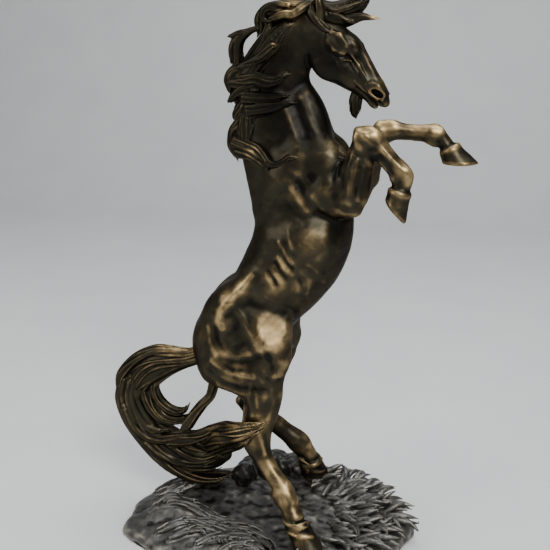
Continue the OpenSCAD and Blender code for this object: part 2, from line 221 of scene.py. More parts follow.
# a, b, radius at a, radius at b, blend
BANDS = [
    ((-14, -24, 284), (-34, -27, 264), 8, 9, 14),      # hip bone
    ((-34, -28, 264), (-38, -30, 244), 9, 8, 10),
    ((-58, -16, 216), (-36, -27, 184), 13, 13, 9),     # back of the thigh
    ((-36, -27, 184), (-8, -35, 170), 13, 12, 9),
    ((18, -8.5, 456), (36, -15, 416), 7, 10, 11),     # neck muscles
    ((36, -5.5, 460), (54, -12, 422), 6, 10, 11),
]

# Modelling strokes on both flanks: the line (x, z), half width, height; below 0 it is a crease
STROKES = [
    ([(-10, 292), (-22, 277), (-32, 266), (-41, 256), (-43, 246), (-38, 238)], 3.4, 1.6),   # hip bone
    ([(-22, 256), (-14, 242), (-6, 230), (-1, 220)], 2.6, 1.1),   # edge of the haunch
    ([(26, 246), (28, 234), (20, 222), (4, 217)], 3.4, 0.9),
    ([(-30, 252), (-24, 240), (-17, 228)], 5.5, -1.6),
    ([(-10, 264), (6, 260), (22, 256)], 6.5, -1.7),   # hollow of the loin
    ([(33, 254), (36, 242), (35, 230)], 3.0, -1.4),   # fold of the flank
    ([(27, 252), (31, 241), (31, 231)], 2.4, 1.1),
    ([(-54, 236), (-52, 222), (-45, 210)], 3.6, 1.6),   # hamstrings
    ([(-47, 238), (-43, 225), (-36, 216)], 3.0, -1.2),
    ([(-36, 216), (-24, 212), (-12, 215)], 4.6, 1.5),
    ([(-42, 208), (-27, 205), (-11, 208), (0, 213)], 3.4, -1.0),
    ([(-50, 204), (-43, 198), (-30, 192), (-7, 192)], 2.6, 1.3),
    ([(-53, 191), (-38, 181), (-20, 178), (-6, 181)], 2.8, -1.2),
    ([(-44, 176), (-28, 171), (-14, 172)], 3.0, 0.8),
    ([(16, 216), (24, 205), (20, 194)], 5.0, 1.5),   # stifle
    ([(8, 216), (13, 203), (9, 192)], 3.6, -1.1),
    ([(0, 197), (12, 188), (22, 187)], 3.0, -1.0),
    ([(-8, 184), (-10, 168), (-7, 150)], 2.6, 1.1),   # gaskin
    ([(12, 180), (14, 166), (9, 148)], 2.6, 1.0),
    ([(2, 178), (3, 158)], 4.0, -1.0),
    ([(-3, 176), (-1, 160)], 1.6, 0.6),
    ([(27, 340), (29, 332), (31, 324)], 2.2, 0.7),   # ribs
    ([(18, 328), (24, 318), (31, 309)], 2.2, 0.9),
    ([(18, 313), (24, 304), (32, 297)], 2.2, 0.9),
    ([(12, 303), (16, 296), (20, 290)], 2.2, 0.8),
    ([(6, 295), (9, 289), (12, 283)], 2.2, 0.7),
    ([(24, 329), (29, 322), (34, 317)], 2.0, -0.7),
    ([(20, 321), (25, 312), (31, 304)], 2.0, -0.8),
    ([(14, 309), (19, 301), (26, 293)], 2.0, -0.8),
    ([(8, 298), (13, 292), (16, 286)], 2.0, -0.7),
    ([(33, 345), (46, 341), (60, 337)], 5.5, 0.5),
    ([(62, 344), (62, 328), (54, 308)], 4.5, 0.7),
    ([(40, 330), (50, 322)], 8.0, 0.9),
    ([(40, 300), (48, 290), (44, 276)], 4.0, 0.9),
    ([(72, 338), (70, 318), (60, 296), (48, 274)], 4.0, -1.0),
    ([(46, 308), (54, 300), (60, 288)], 2.6, 0.8),
    ([(38, 292), (42, 280), (40, 266)], 2.6, -0.7),
    ([(4, 394), (14, 388), (26, 382)], 5.5, 0.6),   # shoulder
    ([(20, 402), (34, 394), (46, 384)], 4.2, 0.5),
    ([(30, 392), (40, 385), (48, 378)], 3.0, -0.9),
    ([(36, 386), (44, 372), (53, 358), (68, 351), (84, 350)], 3.4, -1.5),
    ([(30, 380), (36, 371), (44, 360)], 3.2, 1.2),
    ([(42, 388), (52, 372), (60, 362)], 3.0, 0.6),
    ([(48, 392), (58, 387), (74, 389)], 4.5, -0.7),
    ([(44, 402), (54, 397), (66, 396), (80, 400)], 4.0, -0.3),
    ([(76, 394), (80, 380), (82, 364)], 3.2, -0.8),
    ([(24, 368), (32, 356), (42, 348)], 3.0, -0.6),
    ([(10, 466), (19, 453), (27, 436), (34, 420)], 2.6, 0.5),   # neck
    ([(20, 466), (29, 449), (39, 428)], 3.6, -0.7),
    ([(33, 464), (41, 446), (51, 426)], 2.4, 0.6),
    ([(44, 464), (52, 446), (60, 429)], 3.0, -0.7),
]

# A plane worked flat on both flanks, which catches the light: centre (x, z), reach, how flat
FACET = (11, 236), 17, 0.85
FACET_WAY = (0.27, 0.83, 0.48)

# Limbs: x, y, z, half depth, half width, or x, y, z, radius where they are round
RIGHT_HIND = [(0, -34, 190, 22, 15), (3, -37, 166, 18.5, 14), (1, -40, 146, 15.5, 12),
              (-2, -42, 131, 13, 10.5), (-3, -44, 118, 12.5, 10.5), (3, -47, 105, 10.5, 9.5),
              (13, -52, 92, 8.6, 8.2), (22, -56, 81, 9.2, 8.6), (28, -60, 71, 11.4, 10.4),
              (34, -64, 60, 10.2, 9.6), (40, -69, 50, 10.2, 9.8)]
LEFT_HIND = [(0, 34, 190, 22, 15), (-3, 37, 168, 18, 13.5), (-12, 40, 148, 15, 12),
             (-21, 42, 132, 12.5, 10), (-26, 43, 119, 12.5, 10), (-15, 44.5, 108, 11, 9.6),
             (-1, 47, 98, 10.4, 9), (12, 49, 87, 10.4, 9), (24, 51, 76, 12.6, 11),
             (32, 53, 65, 11, 10), (37, 54, 55, 11, 10.4)]
RIGHT_FORE = [(80, -29, 364, 17, 13), (86, -31, 380, 17, 13), (90, -33, 396, 15.5, 12),
              (93, -34, 410, 12.5, 10.5), (95, -35, 421, 10.8, 9.8), (98, -35, 429.5, 10.4, 10)]
RIGHT_CANNON = [(98, -35, 430, 9.8, 9.6), (107, -35, 426, 9.6, 9.2), (115, -35, 418, 7.6, 7.4),
                (124, -35, 408, 7.2), (132, -35, 399, 8.4), (135, -35, 391, 7.6, 7.4),
                (132, -35, 382, 7.8)]
LEFT_FORE = [(83, 30, 368, 17, 13), (90, 32, 384, 16, 13), (96, 33, 400, 14.5, 12),
             (100, 34, 411, 12, 10.5), (104, 35, 421, 10.4, 9.8), (109, 35, 428, 9.8)]
LEFT_CANNON = [(107, 35, 428.5, 9.4), (120, 35, 429, 9.2, 9), (131, 35, 428.5, 7.2),
               (145, 35, 428, 7.0), (159, 35, 427, 8.6, 8.4), (166, 35, 423, 7.2, 7.0),
               (172, 35, 416, 7.2, 7.4)]
# Each limb and how softly it joins the body
LIMBS = [(RIGHT_HIND, 8), (LEFT_HIND, 8), (RIGHT_FORE, 6), (LEFT_FORE, 6),
         (RIGHT_CANNON, 3), (LEFT_CANNON, 3)]

# Joints and tendons of each limb: a, b, radius at a, radius at b, blend
RIGHT_HIND_DETAIL = [
    ((-14, -40, 154), (-16, -43, 122), 4.4, 4.4, 4),     # tendon down to the point of the hock
    ((-16, -43, 121), (-6, -45, 108), 6, 6, 4),
    ((-5, -47, 108), (22, -60, 72), 3.6, 3.4, 2.5),      # tendon behind the cannon
    ((8, -42, 140), (5, -45, 114), 4.0, 4.6, 4),
    ((21, -60, 69), (23, -61, 63), 6, 5, 4),             # back of the fetlock
    ((29, -58, 80), (36, -63, 66), 4.4, 4.8, 5),
    ((0, -50, 134), (6, -53, 112), 2.4, 2.4, 2.5),       # edges of the hock
    ((-8, -47, 130), (-4, -50, 112), 2.4, 2.2, 2.5),
    ((3, -46, 172), (0, -48, 150), 7, 4, 6),             # outer muscle of the gaskin
    ((13, -38, 172), (8, -41, 144), 7, 4, 5),
]
LEFT_HIND_DETAIL = [
    ((-22, 38, 154), (-39, 42, 124), 4, 4, 4),
    ((-39, 42, 124), (-27, 44, 111), 5.4, 5.4, 4),
    ((-29, 45, 109), (19, 50, 73), 3.4, 3.2, 2.5),
    ((2, 41, 142), (-14, 43, 122), 4, 4, 4),
    ((21, 51, 70), (23, 51, 67), 6, 5, 4),
    ((31, 50, 79), (35, 51, 72), 5, 5, 4),
    ((-4, 46, 174), (-9, 47, 152), 7, 4, 6),
]
RIGHT_FORE_DETAIL = [
    ((91, -36, 435.5), (102, -36, 436.2), 4.6, 4.8, 3),  # knee
    ((106, -38, 433), (109, -32, 430), 5, 5, 3),
    ((90, -40, 430), (93, -41, 422), 4, 4, 3),
    ((98, -42, 432), (104, -42, 425), 3.4, 3.2, 2.5),
    ((92, -40, 434), (99, -41, 431), 3.6, 3.6, 4),
    ((96, -36, 421), (106, -37, 417), 5.4, 4.6, 3.5),
    ((103, -36, 420), (128, -36, 392), 3.6, 3.4, 2.5),   # tendon
    ((127, -35, 393), (129, -35, 389), 6, 5.4, 3.5),
    ((136, -38, 400), (138, -33, 396), 4.6, 4.6, 3),
    ((110, -42, 424), (130, -41.6, 404), 1.8, 1.8, 2),
    ((83, -38, 372), (90, -41, 398), 7, 5, 5),         # forearm muscles
    ((95, -36, 374), (99, -37, 406), 6.5, 6.5, 5),
    ((77, -34, 382), (86, -36, 414), 6, 4, 5),
    ((86, -43, 380), (91, -44, 410), 3, 2.2, 2.5),
    ((92, -43, 374), (97, -43.5, 404), 2.6, 2.0, 2.0),
    ((80, -40, 386), (87, -43, 414), 2.4, 2.0, 2.0),
]
LEFT_FORE_DETAIL = [
    ((107, 35, 434), (117, 35, 434.4), 4.4, 4.6, 3),
    ((120, 38, 434), (121, 32, 433), 4.4, 4.4, 3),
    ((104, 40, 430), (106, 41, 422), 4, 4, 3),
    ((106, 36, 420), (116, 36, 421), 5.2, 4.6, 3.5),
    ((116, 35, 422.5), (155, 35, 421), 2.8, 2.8, 2.5),
    ((157, 35, 420.5), (161, 35, 418), 5.6, 5, 3.5),
    ((161, 38, 432), (166, 33, 428), 4.4, 4.4, 3),
    ((86, 39, 376), (94, 41, 400), 7, 5, 5),
    ((100, 36, 380), (102, 37, 408), 8, 5, 5),
    ((92, 24, 380), (97, 25, 410), 5, 3.4, 4),
]
# Hooves: top centre, bottom centre, top and bottom radius, point and normal of the sole
HOOVES = {
    "right_hind": ((43, -70, 43), (58, -78, 17), 11, 15.5, (56, -77, 17), (0, 0, -1)),
    "left_hind": ((39, 54, 52), (46, 57, 30), 11.5, 15.5, (44, 56, 29), (0, 0, -1)),
    "right_fore": ((131, -35, 381), (125, -35, 357), 10, 13.5, (126, -35, 361.5), (-0.74, 0, -0.67)),
    "left_fore": ((175, 35, 413), (184, 35, 397), 9.5, 16, (184, 35, 397), (0.03, 0, -1)),
}
# Hooves with hair round the coronet, and how far it hangs
FRINGES = {"right_hind": 12, "left_hind": 11}
CARVE_ROOM = 2      # more room round a shape that is carved out


def merge(field, low, high, blend, draw, carve=False):
    """Draws one shape in a window of the field, and joins it to the metal or carves it out."""
    part, cut = field.part(low, high)
    if part is None:
        return
    draw(part)
    if carve:
        field.carve(part, cut, blend)
    else:
        field.join(part, cut, blend)


def add_pad(field, centre, radii, axes, blend, carve=False):
    """One ellipsoid."""
    reach = float(max(radii)) + blend + (CARVE_ROOM if carve else 0)
    centre = np.asarray(centre)
    merge(field, centre - reach, centre + reach, blend,
          lambda part: part.ellipsoid(centre, radii, axes, blend), carve)


def add_band(field, a, b, ra, rb, blend, carve=False):
    """One round cone."""
    reach = max(ra, rb) + blend + (CARVE_ROOM if carve else 0)
    merge(field, np.minimum(a, b) - reach, np.maximum(a, b) + reach, blend,
          lambda part: part.cone(a, b, ra, rb, blend), carve)


def add_tube(field, stations, blend, steps=8):
    """A limb or trunk: close ellipsoids along a smooth path, shorter at its ends, joined as one."""
    path = smooth_path(stations, steps)
    centres = path[:, :3]
    ways = np.gradient(centres, axis=0)
    gaps = np.linalg.norm(ways, axis=1)
    run = np.cumsum(gaps)
    reach = path[:, 3:].max() + blend

    def draw(part):
        for row, way, gap, done in zip(path, ways, gaps, run):
            thin, to_end = min(row[3], row[4]), min(done, run[-1] - done)
            half = max(4.0 * gap, min(0.9 * thin, 0.5 * thin + 0.5 * to_end))
            part.ellipsoid(row[:3], (row[3], row[4], half), axes_from(way), blend)

    merge(field, centres.min(0) - reach, centres.max(0) + reach, blend, draw)


def add_hoof(field, top, bottom, r_top, r_bottom, sole, normal):
    """A hoof: a cone wall, flat on its sole, with a raised coronet."""
    edge, blend = 3.0, 2.2          # rounding of the sole's edge, and of the joint with the pastern
    a, b = np.asarray(top, float), np.asarray(bottom, float)
    low, high = np.minimum(a, b) - r_bottom - 6, np.maximum(a, b) + r_bottom + 6
    d = b - a

    def draw(part):
        _, grid = part.window(low, high)
        p = [grid[i] - a[i] for i in range(3)]
        t = (p[0] * d[0] + p[1] * d[1] + p[2] * d[2]) / (d * d).sum()
        away = np.sqrt(sum((p[i] - t * d[i]) ** 2 for i in range(3)))
        wall = away - (r_top + (r_bottom - r_top) * t)
        n = unit(normal)
        under = sum((grid[i] - sole[i]) * n[i] for i in range(3))
        h = np.maximum(edge - np.abs(wall - under), 0) / edge
        solid = np.maximum(wall, under) + h * h * edge * 0.25
        part.f = np.maximum(solid, -t * np.linalg.norm(d)).astype(np.float32)

    merge(field, low, high, blend, draw)
    ring = unit(d)
    add_pad(field, a + ring * 1.5, (r_top + 1.0, r_top + 1.0, 3.4), axes_from(ring), 4)


def add_fringe(field, top, bottom, radius, hang, seed):
    """Cast locks that sweep round a pastern from the front and trail off behind it."""
    a = np.asarray(top, float)
    axes = axes_from(np.asarray(bottom, float) - a)
    rng = np.random.default_rng(seed)
    reach, locks = radius + hang + 12, 20

    def draw(part):
        for k in range(locks):
            way = 1 if k % 2 else -1
            start, sweep = rng.uniform(-0.7, 0.7), way * rng.uniform(1.6, 2.6)
            drop, trail = rng.uniform(-11, hang - 8), rng.uniform(0, 7)
            fat = rng.uniform(1.7, 3.0)
            last = None
            for t in np.linspace(0, 1, 9):
                angle = start + sweep * t
                out = radius - 2.2 + 1.6 * math.sin(math.pi * t) + trail * t ** 3
                here = a + out * (axes[:, 0] * math.cos(angle) + axes[:, 1] * math.sin(angle))
                here = here + axes[:, 2] * (drop + 9 * t + 2.0 * math.sin(4 * t + k))
                thin = fat * (1 - 0.7 * t ** 2)
                if last is not None:
                    part.cone(last[0], here, last[1], thin)
                last = (here, thin)

    merge(field, a - reach, a + reach, 1.6, draw)


def horse_field(low, high, step):
    """The horse with its head but without ears and hair, as far as it lies between two corners."""
    field = Field(low, high, step)
    add_tube(field, TRUNK, 1.0, steps=12)
    for side in (1, -1):
        for centre, radii, tip, turn, blend in PADS:
            c = (centre[0], centre[1] * side, centre[2])
            add_pad(field, c, radii, lean(tip, turn * side), blend)
        for a, b, ra, rb, blend in BANDS:
            add_band(field, (a[0], a[1] * side, a[2]), (b[0], b[1] * side, b[2]), ra, rb, blend)
    for limb, blend in LIMBS:
        add_tube(field, limb, blend)
    for band in RIGHT_HIND_DETAIL + LEFT_HIND_DETAIL + RIGHT_FORE_DETAIL + LEFT_FORE_DETAIL:
        add_band(field, *band)
    for hoof in HOOVES.values():
        add_hoof(field, *hoof)
    for name, hang in FRINGES.items():
        top, bottom, radius = HOOVES[name][:3]
        add_fringe(field, top, bottom, radius, hang, len(name))
    add_head(field)
    return field


# ---- The head ----

HEAD_ORIGIN = np.array([44.0, 0, 540])
HEAD_YAW = math.radians(-9)


def head_axes():
    """Columns: along the face, towards the forehead, and to the horse's left."""
    along, out = np.array([0.687, 0, -0.727]), np.array([0.727, 0, 0.687])
    c, s = math.cos(HEAD_YAW), math.sin(HEAD_YAW)
    spin = np.array([[c, -s, 0], [s, c, 0], [0, 0, 1]])
    return spin @ np.stack([along, out, np.array([0.0, 1, 0])], 1)


HEAD = head_axes()


def at_head(u, v, w):
    """From the head's own frame: u down the face, v out of the forehead, w to the left."""
    return HEAD_ORIGIN + HEAD @ np.array([u, v, w], float)


# centre (u, v, w), half sizes, blend; those with w other than 0 are on both sides
HEAD_PADS = [
    ((20, -8, 0), (26, 15, 12), 6), ((38, 3, 0), (22, 11, 12), 6), ((42, -14, 0), (25, 20, 11), 6),
    ((47, 8.5, 9.0), (9, 6, 5), 5), ((44, -18, 8), (19, 16, 6), 5), ((20, -12, 8), (14, 14, 6.5), 6),
    ((38, 1.5, 10.5), (11, 7, 6), 5), ((93, -3.5, 0), (13, 9.8, 8), 5),
    ((104, -4.5, 0), (7.5, 5.5, 6.6), 3), ((98, -13.5, 0), (8, 3.6, 5.4), 2.5),
    ((95, -1.5, 6.8), (8, 6.4, 3.6), 3), ((64, -13, 5), (15, 10, 6.0), 6),
]
# a, b, radius at a, radius at b, blend
HEAD_BANDS = [
    ((46, 7, 0), (88, 0, 0), 8.5, 6.8, 5), ((52, -24, 0), (88, -13, 0), 6.5, 4.6, 5),
    ((64, -7, 0), (90, -5, 0), 10, 8.4, 5),
    ((50, 4, 11.4), (66, 1.5, 9.4), 1.2, 1.0, 2.4),       # facial crest
    ((66, 1.5, 9.4), (84, -3, 7.8), 1.0, 1.2, 2.4),
    ((52, 13, 5), (86, 4.2, 3.6), 1.8, 1.5, 3.5),
    ((50, -12, 12.4), (61, -15, 11.0), 1.2, 1.2, 1.4),    # veins
    ((61, -15, 11.0), (74, -11, 9.6), 1.2, 1.0, 1.4),
    ((74, -11, 9.6), (86, -10, 8.4), 1.0, 0.9, 1.4), ((50, -7.5, 12.4), (58, -1, 11), 0.9, 0.9, 1.2),
    ((58, -1, 11), (70, -3.5, 9.6), 0.9, 0.8, 1.2),
    ((27, 3, 13.6), (35, 7.4, 15.0), 1.6, 2.2, 2.6),      # lids
    ((35, 7.4, 15.0), (46, 6, 14.2), 2.2, 1.8, 2.6),
    ((32, -4.4, 13.8), (40, -5.0, 14.2), 1.3, 1.8, 2.4), ((40, -5.0, 14.2), (49, -1, 12.8), 1.8, 1.3, 2.4),
    ((84, -5, 8.4), (91, -7.2, 8.8), 1.0, 1.0, 1.4),      # nostril
    ((91, -7.2, 8.8), (101, -6.6, 8.2), 1.0, 1.0, 1.4),
    ((86, 0, 9.2), (92, 2.6, 9.0), 1.7, 1.9, 1.6), ((92, 2.6, 9.0), (102, 1.4, 8.0), 1.9, 1.4, 1.6),
    ((84, -5, 8.4), (86, 0, 9.2), 1.1, 1.5, 1.4), ((102, 1.4, 8.0), (104, -4, 7.4), 1.3, 1.0, 1.4),
    ((88, -10, 6.6), (107, -8.6, 4.6), 1.3, 1.2, 1.4),    # lips
]


def add_head(field):
    for centre, radii, blend in HEAD_PADS:
        for side in ((1, -1) if centre[2] else (1,)):
            add_pad(field, at_head(centre[0], centre[1], centre[2] * side), radii, HEAD, blend)
    for a, b, ra, rb, blend in HEAD_BANDS:
        for side in ((1, -1) if a[2] else (1,)):
            ends = [at_head(u, v, w * side) for u, v, w in (a, b)]
            add_band(field, *ends, ra, rb, blend)
    nostril_axes = HEAD @ lean(0, 16)
    for side in (1, -1):
        eye, nostril = at_head(38, 1.2, side * 12.2), at_head(96.5, -2.6, side * 9.5)
        mouth = at_head(80, -13.0, side * 7.6), at_head(108, -10.4, side * 6)
        throat = at_head(30, -32, side * 13), at_head(48, -40, side * 9)
        add_pad(field, eye, (5.4, 4.0, 4.4), HEAD, 1.2)
        add_pad(field, nostril, (6.2, 2.9, 5.4), nostril_axes, 0.8, carve=True)
        add_band(field, *mouth, 0.9, 1.7, 0.8, carve=True)
        add_band(field, *throat, 1.6, 1.2, 3.0, carve=True)
    add_band(field, at_head(109, -10.4, -6), at_head(109, -10.4, 6), 1.7, 1.7, 0.8, carve=True)


# ---- Hair ----


STRAND_ENDS = (0.84, 1.0)       # where the strands of a lock end, as shares of its length
STRAND_WAVE = 0.16              # how far a strand swings round its lock, in radians


def add_bundle(field, guide, strands, radius, twist, seed):
    """A fluted lock: thin strands round a tapering core that follows the guide."""
    path = smooth_path(guide, 7)
    ways = np.gradient(path[:, :3], axis=0)
    gaps = np.linalg.norm(ways, axis=1)
    run = np.concatenate([[0], np.cumsum(gaps[1:])])
    run /= run[-1]
    frames = [axes_from(way) for way in ways]
    for row, gap, axes in zip(path, gaps, frames):
        a, b = np.maximum(row[3:] - radius * 0.9, 0.4)
        field.ellipsoid(row[:3], (a, b, max(2.5 * gap, 0.5 * min(a, b))), axes)
    rng = np.random.default_rng(seed)
    for k in range(strands):
        start = 2 * math.pi * (k + rng.uniform(-0.25, 0.25)) / strands
        end = rng.uniform(*STRAND_ENDS)
        wave, size = rng.uniform(0, 2 * math.pi), radius * rng.uniform(0.6, 1.6)
        before = None
        for row, t, axes in zip(path, run, frames):
            if t > end:
                break
            turn = start + twist * t + STRAND_WAVE * math.sin(wave + 7 * t)
            slim = min(1.0, 0.25 + min(row[3], row[4]) / (2.2 * radius))
            fat = size * (1 - 0.75 * (t / end) ** 3) * slim
            out = np.maximum(row[3:] - fat * 1.05, 0.2)
            here = row[:3] + axes[:, 0] * out[0] * math.cos(turn) + axes[:, 1] * out[1] * math.sin(turn)
            if before is not None:
                field.cone(before[0], here, before[1], fat)
            before = (here, fat)


